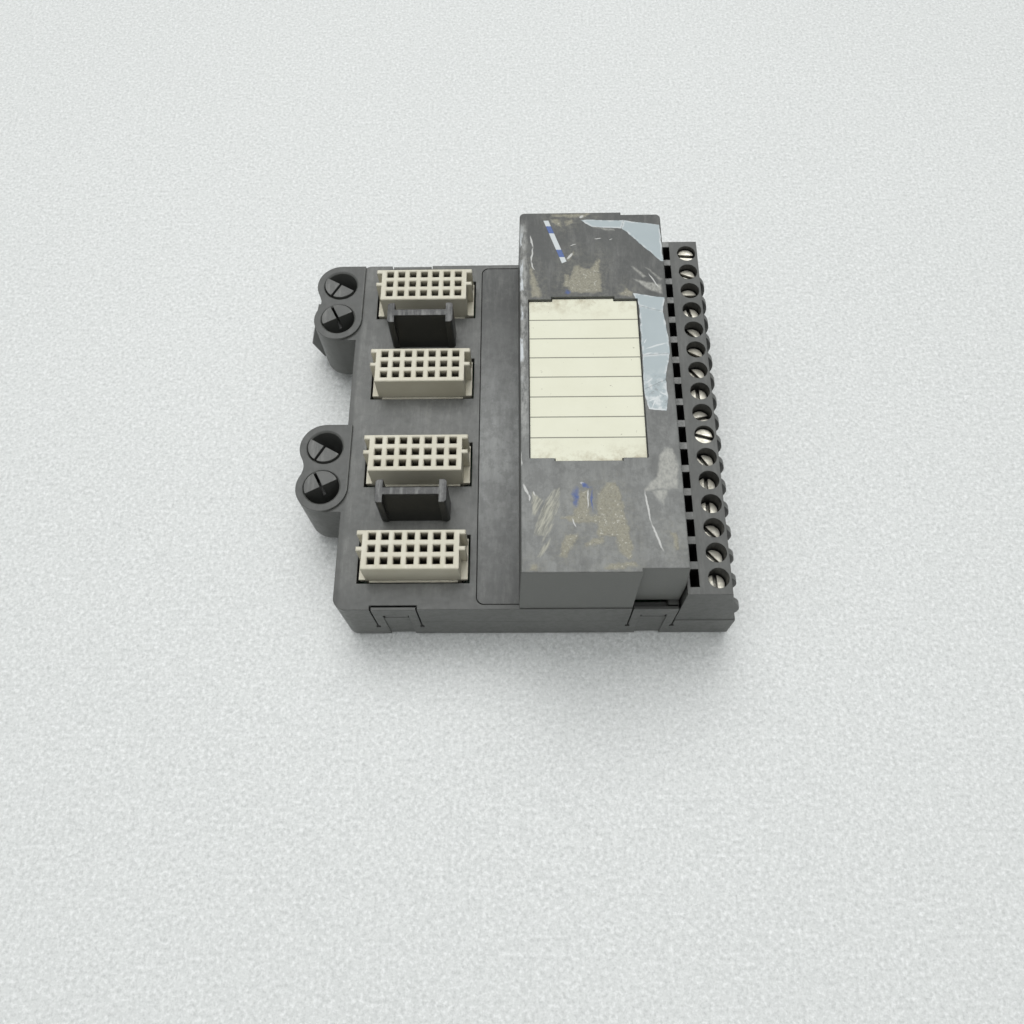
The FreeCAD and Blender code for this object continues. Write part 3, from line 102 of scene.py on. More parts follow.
BLUE_MARKS = [
    (7.2, -23.6, 7.0, -28.6, 0.75),
    (7.8, -23.2, 10.0, -24.2, 0.50),
    (10.0, -24.0, 10.0, -29.4, 0.30),
    (6.7, 20.6, 6.8, 19.2, 0.80),
]
# Corners of the film's remains, anticlockwise, and creases in it like the strokes above (mm)
FILM = [
    [(10.0, 38.7), (10.9, 37.7), (12.4, 36.8), (16.5, 36.4), (18.6, 36.2), (19.0, 38.4)],
    [(18.6, 36.2), (26.2, 27.5), (26.7, 27.5), (26.6, 37.2), (19.0, 38.4)],
    [(20.0, 19.4), (21.0, 16.3), (25.7, 14.9), (26.3, 18.3)],
    [(21.0, 16.3), (21.0, 4.4), (26.4, 4.9), (26.4, 8.8), (26.1, 12.4), (25.7, 14.9)],
    [(21.0, 4.4), (20.7, -3.5), (25.2, -1.2), (26.4, 4.9)],
    [(20.7, -3.5), (21.5, -7.7), (24.9, -8.2), (25.4, -4.7), (25.2, -1.2)],
]
CREASES = [
    (21.2, 5.7, 26.6, 7.5, 0.22),
    (20.9, 4.5, 23.2, 5.0, 0.16),
    (21.4, 7.1, 22.1, 8.4, 0.14),
    (21.2, -7.6, 25.4, -8.0, 0.30),
    (21.2, -6.2, 24.0, -4.8, 0.20),
    (22.0, -7.5, 23.2, -5.2, 0.16),
    (23.6, -3.7, 25.4, -4.8, 0.18),
    (21.2, -2.0, 22.8, -0.8, 0.20),
    (26.5, 28.4, 26.5, 36.8, 0.22),
]
TAPE = [(2.0, 38.6), (5.7, 27.2), (6.7, 27.7), (3.1, 38.6)]
TAPE_MIDDLE = 0.03295
TAPE_BAND = 0.00315

# Writing card: rows, and how far its tabs stand out at each end (m)
CARD_ROWS = 8
CARD_TAB = 0.0006

# Terminal strip: the row of bars between the test slots, in x (m)
BARS = (0.0284, 0.0302)

# Studio: floor (m), lamp (m and W), and how bright the sky lights and looks
FLOOR_HEIGHT = -0.00002
FLOOR_SIZE = 6.0
LAMP_PLACE = (-0.15, 1.05, 2.25)
LAMP_SIZE = 1.7
LAMP_POWER = 25.0
SKY_LIGHT = 0.665
SKY_SEEN = 0.80

# Heights between which a level's marks begin (m)
COVER_TOP = (0.0352, 0.0354)
PANEL_TOP = (0.0190, 0.0186)
STRIP_TOP = (0.0254, 0.0255)

# Colours as linear red, green, blue and alpha
DUST = (0.310, 0.308, 0.288, 1)
GAP_SHADE = (0.012, 0.012, 0.011, 1)
GRIME = (0.062, 0.064, 0.059, 1)
COVER_GREYS = ((0.062, 0.064, 0.060, 1), (0.084, 0.087, 0.081, 1))
COVER_SHEEN_AND_DUST = (0.286, 0.292, 0.278, 1)
COVER_FRONT_LIGHT = (0.165, 0.169, 0.155, 1)
PANEL_SHEEN = (0.345, 0.352, 0.340, 1)
GLUE_HAZE = (0.300, 0.292, 0.228, 1)
GLUE_TANS = ((0.240, 0.225, 0.165, 1), (0.335, 0.318, 0.245, 1))
GLUE_GLINT = (0.560, 0.548, 0.470, 1)
GLUE_SPOT = (0.090, 0.080, 0.055, 1)
GLUE_BORDER = (0.100, 0.096, 0.076, 1)
SMEAR_PALE = (0.445, 0.440, 0.395, 1)
SCRAPE_LINE = (0.500, 0.488, 0.400, 1)
SCRAPE_BED = (0.280, 0.272, 0.205, 1)
RUBBED_RIM = (0.400, 0.402, 0.378, 1)
PEELED_LIP = (0.600, 0.630, 0.640, 1)
SCRATCH_PALE = (0.620, 0.620, 0.590, 1)
INK_BLUE = (0.045, 0.090, 0.275, 1)
FILM_TINTS = ((0.360, 0.424, 0.438, 1), (0.450, 0.514, 0.528, 1))
FILM_CREST_HIGHLIGHT = (0.640, 0.675, 0.675, 1)
FILM_TROUGH_SHADE = (0.270, 0.300, 0.310, 1)
FILM_LIFTED = (0.640, 0.670, 0.668, 1)
FILM_CREASE = (0.700, 0.728, 0.722, 1)
TAPE_TINTS = ((0.600, 0.635, 0.635, 1), (0.045, 0.100, 0.300, 1))
CASE_GREYS = ((0.104, 0.107, 0.099, 1), (0.138, 0.141, 0.131, 1))
CASE_FRONT = (0.074, 0.076, 0.070, 1)
TOWER_TOP = (0.052, 0.054, 0.049, 1)
STRIP_GREYS = ((0.084, 0.087, 0.080, 1), (0.108, 0.111, 0.102, 1))
BAR_PALE = (0.300, 0.302, 0.286, 1)
CARD_CREAMS = ((0.745, 0.735, 0.570, 1), (0.850, 0.845, 0.690, 1))
CARD_STAIN = (0.360, 0.290, 0.180, 1)
CARD_SPECK = (0.240, 0.220, 0.160, 1)
CARD_LINE = (0.090, 0.086, 0.065, 1)
SOCKET_BEIGES = ((0.610, 0.570, 0.445, 1), (0.700, 0.665, 0.540, 1))
SOCKET_DUST = (0.800, 0.775, 0.660, 1)
POST_BLACKS = ((0.013, 0.014, 0.013, 1), (0.022, 0.023, 0.021, 1))
POST_DUST_AND_SHEEN = (0.240, 0.240, 0.226, 1)
KEY_GREYS = ((0.078, 0.080, 0.074, 1), (0.104, 0.106, 0.098, 1))
SCREW_TINTS = ((0.840, 0.810, 0.700, 1), (0.440, 0.400, 0.300, 1))
CLAMP_TINTS = ((0.620, 0.620, 0.600, 1), (0.380, 0.370, 0.330, 1))
BRASS_TINTS = ((0.700, 0.520, 0.230, 1), (0.380, 0.250, 0.110, 1))
RUBBED_METAL = (0.920, 0.900, 0.820, 1)
BOARD_GREENS = ((0.020, 0.075, 0.035, 1), (0.035, 0.110, 0.050, 1))
BOARD_WEAVE = (0.110, 0.160, 0.080, 1)
FLOOR_GREYS = ((0.715, 0.728, 0.708, 1), (0.775, 0.788, 0.768, 1))
FLOOR_BRIGHT = (0.880, 0.890, 0.874, 1)
FLOOR_SHADE = (0.640, 0.652, 0.634, 1)
SKY_TINT = (0.960, 0.985, 1.0, 1.0)


def feed(tree, socket, value):
    """Link a socket, or set its constant."""
    if isinstance(value, bpy.types.NodeSocket):
        tree.links.new(value, socket)
    else:
        socket.default_value = value


def add(tree, kind, inputs=None, **settings):
    """Add a shader node with its settings and inputs."""
    node = tree.nodes.new(kind)
    for name, value in settings.items():
        setattr(node, name, value)
    for name, value in (inputs or {}).items():
        feed(tree, node.inputs[name], value)
    return node


def calc(tree, operation, first, second=0.0):
    """Arithmetic on one or two numbers."""
    return add(tree, "ShaderNodeMath", {0: first, 1: second}, operation=operation).outputs[0]


def step(tree, value, low, high):
    """Rise from 0 to 1 while the value goes from low to high."""
    inputs = {"Value": value, "From Min": low, "From Max": high}
    return add(tree, "ShaderNodeMapRange", inputs, clamp=True).outputs["Result"]


def blend(tree, factor, first, second):
    """Mix two colours."""
    node = add(tree, "ShaderNodeMix", {0: factor, 6: first, 7: second}, data_type="RGBA")
    return node.outputs[2]


def noise(tree, place, scale, detail=3.0, roughness=0.6):
    """Smooth noise between 0 and 1, with a scale in cycles per metre."""
    inputs = {"Vector": place, "Scale": scale, "Detail": detail, "Roughness": roughness}
    return add(tree, "ShaderNodeTexNoise", inputs).outputs["Fac"]


def vector_calc(tree, operation, first, second):
    """Arithmetic on two vectors."""
    return add(tree, "ShaderNodeVectorMath", {0: first, 1: second}, operation=operation).outputs[0]


def parts_of(tree, vector):
    """The three numbers of a vector."""
    return add(tree, "ShaderNodeSeparateXYZ", {"Vector": vector}).outputs


def product(tree, values):
    """The product of several numbers."""
    result = values[0]
    for value in values[1:]:
        result = calc(tree, "MULTIPLY", result, value)
    return result


def distance(tree, value, middle):
    """How far a number lies from a middle."""
    return calc(tree, "ABSOLUTE", calc(tree, "SUBTRACT", value, middle))


def frayed(tree, place, reach, scale):
    """The place pushed about by noise, which frays the edges of what is drawn there."""
    inputs = {"Vector": place, "Scale": scale, "Detail": 3.0}
    push = add(tree, "ShaderNodeTexNoise", inputs).outputs["Color"]
    centred = vector_calc(tree, "SUBTRACT", push, (0.5, 0.5, 0.5))
    return vector_calc(tree, "ADD", place, vector_calc(tree, "MULTIPLY", centred, (reach, reach, 0.0)))


def along(tree, place, direction, offset):
    """How far a place lies along a direction, less an offset."""
    node = add(tree, "ShaderNodeVectorMath", {0: place, 1: direction}, operation="DOT_PRODUCT")
    return calc(tree, "SUBTRACT", node.outputs["Value"], offset)


def stroke(tree, place, mark):
    """Places along and across one stroke, each from -1 to 1 within it."""
    x1, y1, x2, y2, half_width = mark
    middle = Vector((x1 + x2, y1 + y2, 0.0)) / 2 * MM
    ahead = Vector((x2 - x1, y2 - y1, 0.0)) / 2 * MM
    sideways = Vector((-ahead.y, ahead.x, 0.0)).normalized() / (half_width * MM)
    ahead = ahead / ahead.length_squared
    return [along(tree, place, axis, axis.dot(middle)) for axis in (ahead, sideways)]


def strokes(tree, place, marks):
    """1 in the middle of the nearest stroke, falling to 0 at its edge."""
    result = None
    for mark in marks:
        length, width = stroke(tree, place, mark)
        squares = [calc(tree, "MULTIPLY", part, part) for part in (length, width)]
        reach = calc(tree, "SQRT", calc(tree, "ADD", *squares))
        depth = calc(tree, "SUBTRACT", 1.0, reach)
        result = depth if result is None else calc(tree, "MAXIMUM", result, depth)
    return result


def inside(tree, place, corners):
    """Distance in metres inside a convex outline, negative outside; corners run anticlockwise in mm."""
    result = None
    for start, end in zip(corners, corners[1:] + corners[:1]):
        inward = Vector((start[1] - end[1], end[0] - start[0], 0.0)).normalized()
        depth = along(tree, place, inward, inward.dot(Vector((*start, 0.0))) * MM)
        result = depth if result is None else calc(tree, "MINIMUM", result, depth)
    return result


def inside_any(tree, place, outlines):
    """Distance inside the nearest of several outlines."""
    result = inside(tree, place, outlines[0])
    for corners in outlines[1:]:
        result = calc(tree, "MAXIMUM", result, inside(tree, place, corners))
    return result


class Finish:
    """A material under way: its tree, its place coordinates and its shader."""

    def __init__(self, name):
        self.material = bpy.data.materials.new(name)
        self.material.use_nodes = True
        self.tree = self.material.node_tree
        self.tree.nodes.clear()
        self.place = add(self.tree, "ShaderNodeTexCoord").outputs["Object"]
        self.shader = add(self.tree, "ShaderNodeBsdfPrincipled")
        output = add(self.tree, "ShaderNodeOutputMaterial")
        self.tree.links.new(self.shader.outputs[0], output.inputs["Surface"])

    def set(self, **inputs):
        """Feed the shader's sockets, underscores standing for spaces."""
        for name, value in inputs.items():
            feed(self.tree, self.shader.inputs[name.replace("_", " ")], value)

    def rounded_normal(self, radius):
        """Normal that softens the edges as moulding does."""
        return add(self.tree, "ShaderNodeBevel", {"Radius": radius}, samples=4).outputs["Normal"]

    def edges(self, radius):
        """About 1 along the edges and 0 on flat faces."""
        soft = self.rounded_normal(radius)
        plain = add(self.tree, "ShaderNodeNewGeometry").outputs["Normal"]
        facing = add(self.tree, "ShaderNodeVectorMath", {0: soft, 1: plain}, operation="DOT_PRODUCT")
        return step(self.tree, facing.outputs["Value"], 0.99, 0.80)

    def crannies(self, reach, open_level, shut_level):
        """1 deep in gaps narrower than about twice the reach and 0 in the open."""
        node = add(self.tree, "ShaderNodeAmbientOcclusion", {"Distance": reach}, samples=6)
        return step(self.tree, node.outputs["AO"], open_level, shut_level)

    def upward(self):
        """1 on faces that look up."""
        normal = add(self.tree, "ShaderNodeNewGeometry").outputs["Normal"]
        return step(self.tree, parts_of(self.tree, normal)[2], 0.6, 0.95)

    def bump(self, height, strength, depth, radius=0.00025):
        """Relief on top of softened edges."""
        inputs = {
            "Height": height,
            "Strength": strength,
            "Distance": depth,
            "Normal": self.rounded_normal(radius),
        }
        self.set(Normal=add(self.tree, "ShaderNodeBump", inputs).outputs[0])


def moulded(name, dark, light, dust=DUST, roughness=0.40, dusty=0.4, worn=0.4, gap=None):
    """Moulded plastic: mottled, dusty on top, rubbed at the edges, with painted shade in gaps, and fine
    grain.
    """
    finish = Finish(name)
    tree = finish.tree
    place = finish.place
    broad = step(tree, noise(tree, place, 70.0, 4.0), 0.35, 0.68)
    cloud = step(tree, noise(tree, place, 160.0, 5.0, 0.65), 0.40, 0.70)
    fine = step(tree, noise(tree, place, 900.0, 5.0, 0.7), 0.42, 0.72)
    colour = blend(tree, broad, dark, light)
    colour = blend(tree, product(tree, [finish.upward(), cloud, fine, dusty]), colour, dust)
    wiped = noise(tree, vector_calc(tree, "MULTIPLY", place, (3.0, 0.5, 1.0)), 260.0, 5.0, 0.7)
    colour = blend(tree, product(tree, [finish.upward(), step(tree, wiped, 0.48, 0.70), dusty]), colour, dust)
    scuff = noise(tree, vector_calc(tree, "MULTIPLY", place, (1.0, 6.0, 2.0)), 420.0, 4.0, 0.7)
    colour = blend(tree, product(tree, [step(tree, scuff, 0.66, 0.74), cloud, worn]), colour, dust)
    colour = blend(tree, product(tree, [finish.edges(0.0004), fine, worn]), colour, dust)
    if gap:
        # Painted shade: narrow gaps and holes are darkened where shade falls in them.
        colour = blend(tree, finish.crannies(*gap), colour, GAP_SHADE)
    finish.set(Base_Color=colour)
    finish.set(Roughness=calc(tree, "ADD", calc(tree, "MULTIPLY", fine, 0.16), roughness))
    finish.bump(noise(tree, place, 5200.0, 2.0), 0.35, 0.00004)
    return finish, colour


def grimed(finish, colour, amount):
    """Soft dark blotches on the faces that look up."""
    tree = finish.tree
    blotch = step(tree, noise(tree, finish.place, 380.0, 5.0, 0.75), 0.46, 0.58)
    return blend(tree, product(tree, [finish.upward(), blotch, amount]), colour, GRIME)


def cover_plain(finish, colour, top):
    """The cover's colour: a painted sheen mixed with dust paling its top towards the front, a painted sheen
    along the middle of its low panel, and painted light on its front faces.
    """
    tree = finish.tree
    y, z = parts_of(tree, finish.place)[1:3]
    wander = calc(tree, "MULTIPLY", noise(tree, finish.place, 90.0, 4.0), 0.016)
    front = calc(tree, "ADD", y, wander)
    streaks = noise(tree, vector_calc(tree, "MULTIPLY", finish.place, (2.0, 0.6, 1.0)), 240.0, 5.0, 0.7)
    streaks = calc(tree, "ADD", calc(tree, "MULTIPLY", streaks, 1.7), 0.05)
    # Painted sheen mixed with dust: the top pales towards the front.
    pale = product(tree, [top, step(tree, front, 0.024, -0.016), streaks, 0.68])
    colour = blend(tree, pale, colour, COVER_SHEEN_AND_DUST)
    # Painted sheen along the middle of the low panel.
    low = calc(tree, "MULTIPLY", finish.upward(), step(tree, z, *PANEL_TOP))
    panel = product(tree, [low, step(tree, distance(tree, y, -0.006), 0.036, 0.004), streaks, 0.74])
    colour = blend(tree, panel, colour, PANEL_SHEEN)
    # Painted light: faces that look to the front are lightened.
    normal = add(tree, "ShaderNodeNewGeometry").outputs["Normal"]
    ahead = step(tree, parts_of(tree, normal)[1], -0.6, -0.9)
    colour = blend(tree, calc(tree, "MULTIPLY", ahead, 0.75), colour, COVER_FRONT_LIGHT)
    return grimed(finish, colour, 0.32)


def cover_dirt(finish, colour, top, grain):
    """Adhesive, pale smears, scrapes, the rubbed left edge, scratches and blue marks on the cover's top."""
    tree = finish.tree
    place = finish.place
    x, y, z = parts_of(tree, place)[:3]
    rough = frayed(tree, place, 0.0013, 800.0)
    torn = frayed(tree, place, 0.0006, 700.0)
    mottle = noise(tree, place, 1100.0, 4.0, 0.7)
    flecks = noise(tree, place, 1900.0, 2.0)

    depth = inside_any(tree, rough, GLUE)
    glue = step(tree, depth, -0.0001, 0.0004)
    haze = product(tree, [top, step(tree, depth, -0.0034, 0.0), step(tree, mottle, 0.42, 0.66), 0.30])
    colour = blend(tree, haze, colour, GLUE_HAZE)
    body = calc(tree, "ADD", calc(tree, "MULTIPLY", step(tree, mottle, 0.30, 0.52), 0.25), 0.70)
    tan = blend(tree, step(tree, grain, 0.35, 0.65), *GLUE_TANS)
    colour = blend(tree, product(tree, [top, glue, body]), colour, tan)
    # Painted glints: bright flecks in the adhesive stand for light caught by it.
    bright = product(tree, [top, glue, step(tree, flecks, 0.62, 0.70), 0.70])
    colour = blend(tree, bright, colour, GLUE_GLINT)
    spots = product(tree, [top, glue, step(tree, flecks, 0.35, 0.28), 0.55])
    colour = blend(tree, spots, colour, GLUE_SPOT)
    border = step(tree, depth, 0.0007, 0.0001)
    border = product(tree, [top, glue, border, step(tree, mottle, 0.56, 0.40), 0.35])
    colour = blend(tree, border, colour, GLUE_BORDER)

    wisps = noise(tree, vector_calc(tree, "MULTIPLY", place, (1.4, 0.8, 1.0)), 1100.0, 4.0, 0.7)
    smear = product(tree, [top, step(tree, inside_any(tree, torn, SMEARS), -0.0001, 0.0004)])
    density = calc(tree, "ADD", calc(tree, "MULTIPLY", step(tree, wisps, 0.38, 0.60), 0.5), 0.35)
    colour = blend(tree, product(tree, [smear, density]), colour, SMEAR_PALE)
    run = along(tree, place, SCRAPE_WAY * 260.0, 0.0)
    side = along(tree, place, Vector((SCRAPE_WAY.y, -SCRAPE_WAY.x, 0.0)) * 2100.0, 0.0)
    lane = add(tree, "ShaderNodeCombineXYZ", {"X": run, "Y": side}).outputs[0]
    lines = step(tree, noise(tree, lane, 1.0, 4.0, 0.7), 0.44, 0.58)
    scraped = step(tree, inside_any(tree, torn, SCRAPES), -0.0002, 0.0002)
    colour = blend(tree, product(tree, [top, scraped, lines, 0.85]), colour, SCRAPE_LINE)
    colour = blend(tree, product(tree, [top, scraped, 0.30]), colour, SCRAPE_BED)

    length = step(tree, distance(tree, y, 0.012), 0.027, 0.024)
    bound = calc(tree, "ADD", x, calc(tree, "MULTIPLY", noise(tree, place, 320.0, 4.0, 0.7), 0.0016))
    rubbed = noise(tree, vector_calc(tree, "MULTIPLY", place, (1.0, 0.35, 1.0)), 1300.0, 5.0, 0.75)
    rim = product(tree, [top, length, step(tree, bound, -0.0004, -0.0012)])
    rim = product(tree, [rim, step(tree, rubbed, 0.38, 0.60), 0.75])
    colour = blend(tree, rim, colour, RUBBED_RIM)
    lip = product(tree, [step(tree, z, 0.0338, 0.0350), step(tree, x, -0.0021, -0.0025)])
    stretched = vector_calc(tree, "MULTIPLY", place, (1.0, 0.3, 1.0))
    peeled = step(tree, noise(tree, stretched, 420.0, 4.0), 0.50, 0.56)
    lip = product(tree, [lip, step(tree, distance(tree, y, 0.018), 0.020, 0.014), peeled])
    colour = blend(tree, lip, colour, PEELED_LIP)

    scratch = product(tree, [top, step(tree, strokes(tree, torn, SCRATCHES), 0.0, 0.35), 0.85])
    colour = blend(tree, scratch, colour, SCRATCH_PALE)
    ink = calc(tree, "ADD", calc(tree, "MULTIPLY", step(tree, mottle, 0.36, 0.60), 0.55), 0.40)
    blue = product(tree, [top, step(tree, strokes(tree, rough, BLUE_MARKS), 0.0, 0.6), ink])
    colour = blend(tree, blue, colour, INK_BLUE)
    return colour, glue


def cover_finish():
    """The worn cover, with torn film and a sliver of printed tape over its dirt."""
    finish, colour = moulded("cover_plastic", *COVER_GREYS, dusty=0.24, worn=0.25)
    tree = finish.tree
    place = finish.place
    y, z = parts_of(tree, place)[1:3]
    top = calc(tree, "MULTIPLY", finish.upward(), step(tree, z, *COVER_TOP))
    grain = noise(tree, place, 2400.0, 3.0, 0.7)
    colour = cover_plain(finish, colour, top)
    colour, glue = cover_dirt(finish, colour, top, grain)

    torn = frayed(tree, place, 0.0007, 420.0)
    depth = inside_any(tree, torn, FILM)
    film = calc(tree, "MULTIPLY", top, step(tree, depth, -0.00002, 0.00006))
    sheet = blend(tree, noise(tree, place, 130.0, 3.0), *FILM_TINTS)
    crumpled = calc(tree, "MULTIPLY", step(tree, y, 0.002, -0.004), step(tree, y, -0.012, -0.010))
    ripple = noise(tree, place, 620.0, 3.0, 0.6)
    # Painted highlight and shade on the crumples: crests lighter, troughs darker.
    sheet = blend(tree, product(tree, [crumpled, step(tree, ripple, 0.50, 0.62)]), sheet, FILM_CREST_HIGHLIGHT)
    sheet = blend(tree, product(tree, [crumpled, step(tree, ripple, 0.42, 0.34)]), sheet, FILM_TROUGH_SHADE)
    lifted = calc(tree, "MULTIPLY", step(tree, depth, 0.0005, 0.0001), step(tree, ripple, 0.44, 0.58))
    sheet = blend(tree, lifted, sheet, FILM_LIFTED)
    crease = step(tree, strokes(tree, torn, CREASES), 0.0, 0.5)
    sheet = blend(tree, calc(tree, "MULTIPLY", crease, 0.8), sheet, FILM_CREASE)
    colour = blend(tree, calc(tree, "MULTIPLY", film, 0.94), colour, sheet)

    tape = calc(tree, "MULTIPLY", top, step(tree, inside(tree, place, TAPE), -0.00003, 0.00006))
    band = distance(tree, distance(tree, y, TAPE_MIDDLE), TAPE_BAND)
    printed = blend(tree, step(tree, band, 0.00105, 0.0009), *TAPE_TINTS)
    colour = blend(tree, tape, colour, printed)

    gloss = calc(tree, "MULTIPLY", calc(tree, "MAXIMUM", film, tape), -0.14)
    finish.set(Base_Color=colour)
    dull = calc(tree, "ADD", calc(tree, "MULTIPLY", grain, 0.2), 0.38)
    finish.set(Roughness=calc(tree, "ADD", dull, gloss))
    relief = calc(tree, "MULTIPLY", film, calc(tree, "ADD", calc(tree, "MULTIPLY", ripple, crumpled), 0.5))
    relief = calc(tree, "ADD", relief, calc(tree, "MULTIPLY", calc(tree, "MULTIPLY", top, glue), grain))
    relief = calc(tree, "ADD", relief, calc(tree, "MULTIPLY", grain, 0.12))
    finish.bump(calc(tree, "ADD", relief, calc(tree, "MULTIPLY", tape, 0.5)), 0.6, 0.00012)
    return finish.material


def case_finish():
    """Base and housing: darker along the front edge and on the towers' tops."""
    finish, colour = moulded("case_plastic", *CASE_GREYS, dusty=0.28, worn=0.35, gap=(0.0014, 0.52, 0.26))
    tree = finish.tree
    x, y = parts_of(tree, finish.place)[:2]
    rough = calc(tree, "MULTIPLY", noise(tree, finish.place, 260.0, 5.0, 0.7), 0.006)
    front = step(tree, calc(tree, "ADD", y, rough), -0.0325, -0.0370)
    colour = blend(tree, product(tree, [finish.upward(), front, 0.75]), colour, CASE_FRONT)
    towers = step(tree, x, -0.0388, -0.0394)
    colour = blend(tree, product(tree, [finish.upward(), towers, 0.60]), colour, TOWER_TOP)
    finish.set(Base_Color=grimed(finish, colour, 0.30))
    return finish.material


def strip_finish():
    """The terminal strip: pale dusty bars between the test slots, and painted shade in its holes."""
    finish, colour = moulded("strip_plastic", *STRIP_GREYS, dusty=0.20)
    tree = finish.tree
    x, y, z = parts_of(tree, finish.place)[:3]
    across = distance(tree, x, (BARS[0] + BARS[1]) / 2)
    within = step(tree, across, (BARS[1] - BARS[0]) / 2, 0.0008)
    bar = calc(tree, "MULTIPLY", within, step(tree, z, *STRIP_TOP))
    dusty = step(tree, noise(tree, finish.place, 700.0, 4.0, 0.7), 0.30, 0.55)
    dusty = product(tree, [dusty, calc(tree, "ADD", step(tree, y, -0.040, -0.010), 0.25), 0.68])
    colour = blend(tree, product(tree, [bar, finish.upward(), dusty]), colour, BAR_PALE)
    # Painted shade: the screw bores and test slots are darkened where shade falls in them.
    colour = blend(tree, finish.crannies(0.0032, 0.84, 0.54), colour, GAP_SHADE)
    finish.set(Base_Color=colour)
    return finish.material


def card_finish(low, high):
    """Cream writing card: printed row lines, faint stains towards the ends, specks and paper grain."""
    finish = Finish("card_paper")
    tree = finish.tree
    place = finish.place
    y = parts_of(tree, place)[1]
    cloud = noise(tree, place, 120.0, 5.0, 0.6)
    colour = blend(tree, cloud, *CARD_CREAMS)
    middle = (low.y + high.y) / 2
    half = (high.y - low.y) / 2
    reach = distance(tree, y, middle)
    ends = step(tree, reach, half - 0.005, half)
    stain = product(tree, [ends, step(tree, noise(tree, place, 300.0, 5.0, 0.7), 0.44, 0.70), 0.8])
    colour = blend(tree, stain, colour, CARD_STAIN)
    specks = step(tree, noise(tree, place, 1100.0, 2.0), 0.73, 0.78)
    colour = blend(tree, calc(tree, "MULTIPLY", specks, 0.6), colour, CARD_SPECK)
    row = (high.y - low.y - 2 * CARD_TAB) / CARD_ROWS
    wavy = calc(tree, "ADD", y, calc(tree, "MULTIPLY", noise(tree, place, 60.0, 1.0), 0.0001))
    turn = calc(tree, "DIVIDE", calc(tree, "SUBTRACT", wavy, middle), row)
    away = distance(tree, turn, calc(tree, "ROUND", turn))
    ruled = step(tree, reach, half - 0.003, half - 0.004)
    line = calc(tree, "MULTIPLY", step(tree, away, 0.036, 0.014), ruled)
    colour = blend(tree, calc(tree, "MULTIPLY", line, 0.85), colour, CARD_LINE)
    finish.set(Base_Color=colour, Roughness=0.55)
    finish.bump(noise(tree, place, 3000.0, 3.0), 0.2, 0.00003, 0.0001)
    return finish.material


def metal(name, clean, tarnish, roughness=0.30, amount=0.6, shine=0.9, gap=None):
    """Plated or plain metal with tarnish in patches, fine wear and painted shade in its slots."""
    finish = Finish(name)
    tree = finish.tree
    place = finish.place
    patch = step(tree, noise(tree, place, 650.0, 5.0, 0.7), 0.42, 0.68)
    fine = noise(tree, place, 4200.0, 3.0, 0.6)
    colour = blend(tree, calc(tree, "MULTIPLY", patch, amount), clean, tarnish)
    colour = blend(tree, product(tree, [finish.edges(0.0002), 0.4]), colour, RUBBED_METAL)
    if gap:
        # Painted shade: slots are darkened where shade falls in them.
        colour = blend(tree, finish.crannies(*gap), colour, GAP_SHADE)
    finish.set(Base_Color=colour, Metallic=calc(tree, "SUBTRACT", shine, calc(tree, "MULTIPLY", patch, 0.4)))
    finish.set(Roughness=calc(tree, "ADD", calc(tree, "MULTIPLY", patch, 0.25), roughness))
    finish.bump(fine, 0.25, 0.00003, 0.00012)
    return finish.material


def board_finish():
    """Green laminate with its woven cloth showing faintly."""
    finish = Finish("board_laminate")
    tree = finish.tree
    place = finish.place
    threads = {"Vector": place, "Scale": 400.0}
    warp = add(tree, "ShaderNodeTexWave", threads, bands_direction="X").outputs["Fac"]
    weft = add(tree, "ShaderNodeTexWave", threads, bands_direction="Y").outputs["Fac"]
    weave = calc(tree, "MULTIPLY", warp, weft)
    cloud = noise(tree, place, 80.0, 4.0)
    colour = blend(tree, cloud, *BOARD_GREENS)
    colour = blend(tree, calc(tree, "MULTIPLY", weave, 0.35), colour, BOARD_WEAVE)
    finish.set(Base_Color=colour, Roughness=0.38)
    finish.bump(weave, 0.3, 0.00003)
    return finish.material


def floor_finish():
    """Pale foam sheet whose small cells each catch the light their own way."""
    finish = Finish("floor_sheet")
    tree = finish.tree
    place = finish.place
    bent = frayed(tree, place, 0.0012, 500.0)
    cells = add(tree, "ShaderNodeTexVoronoi", {"Vector": bent, "Scale": 1700.0}).outputs["Color"]
    cloud = noise(tree, place, 9.0, 5.0)
    fine = noise(tree, place, 1300.0, 3.0, 0.7)
    colour = blend(tree, cloud, *FLOOR_GREYS)
    colour = blend(tree, step(tree, fine, 0.53, 0.64), colour, FLOOR_BRIGHT)
    colour = blend(tree, step(tree, fine, 0.47, 0.36), colour, FLOOR_SHADE)
    centred = vector_calc(tree, "SUBTRACT", cells, (0.5, 0.5, 0.5))
    tilt = vector_calc(tree, "MULTIPLY", centred, (0.36, 0.36, 0.0))
    normal = vector_calc(tree, "NORMALIZE", vector_calc(tree, "ADD", tilt, (0.0, 0.0, 1.0)), (0.0, 0.0, 0.0))
    finish.set(Base_Color=colour, Roughness=0.42, Normal=normal)
    return finish.material


def dress(nodes, material):
    """Give CAD nodes a material."""
    for name in nodes:
        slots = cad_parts[name].data.materials
        slots.clear()
        slots.append(material)


def named(stem):
    """Names of the nodes that start with a stem."""
    return [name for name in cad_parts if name.startswith(stem)]


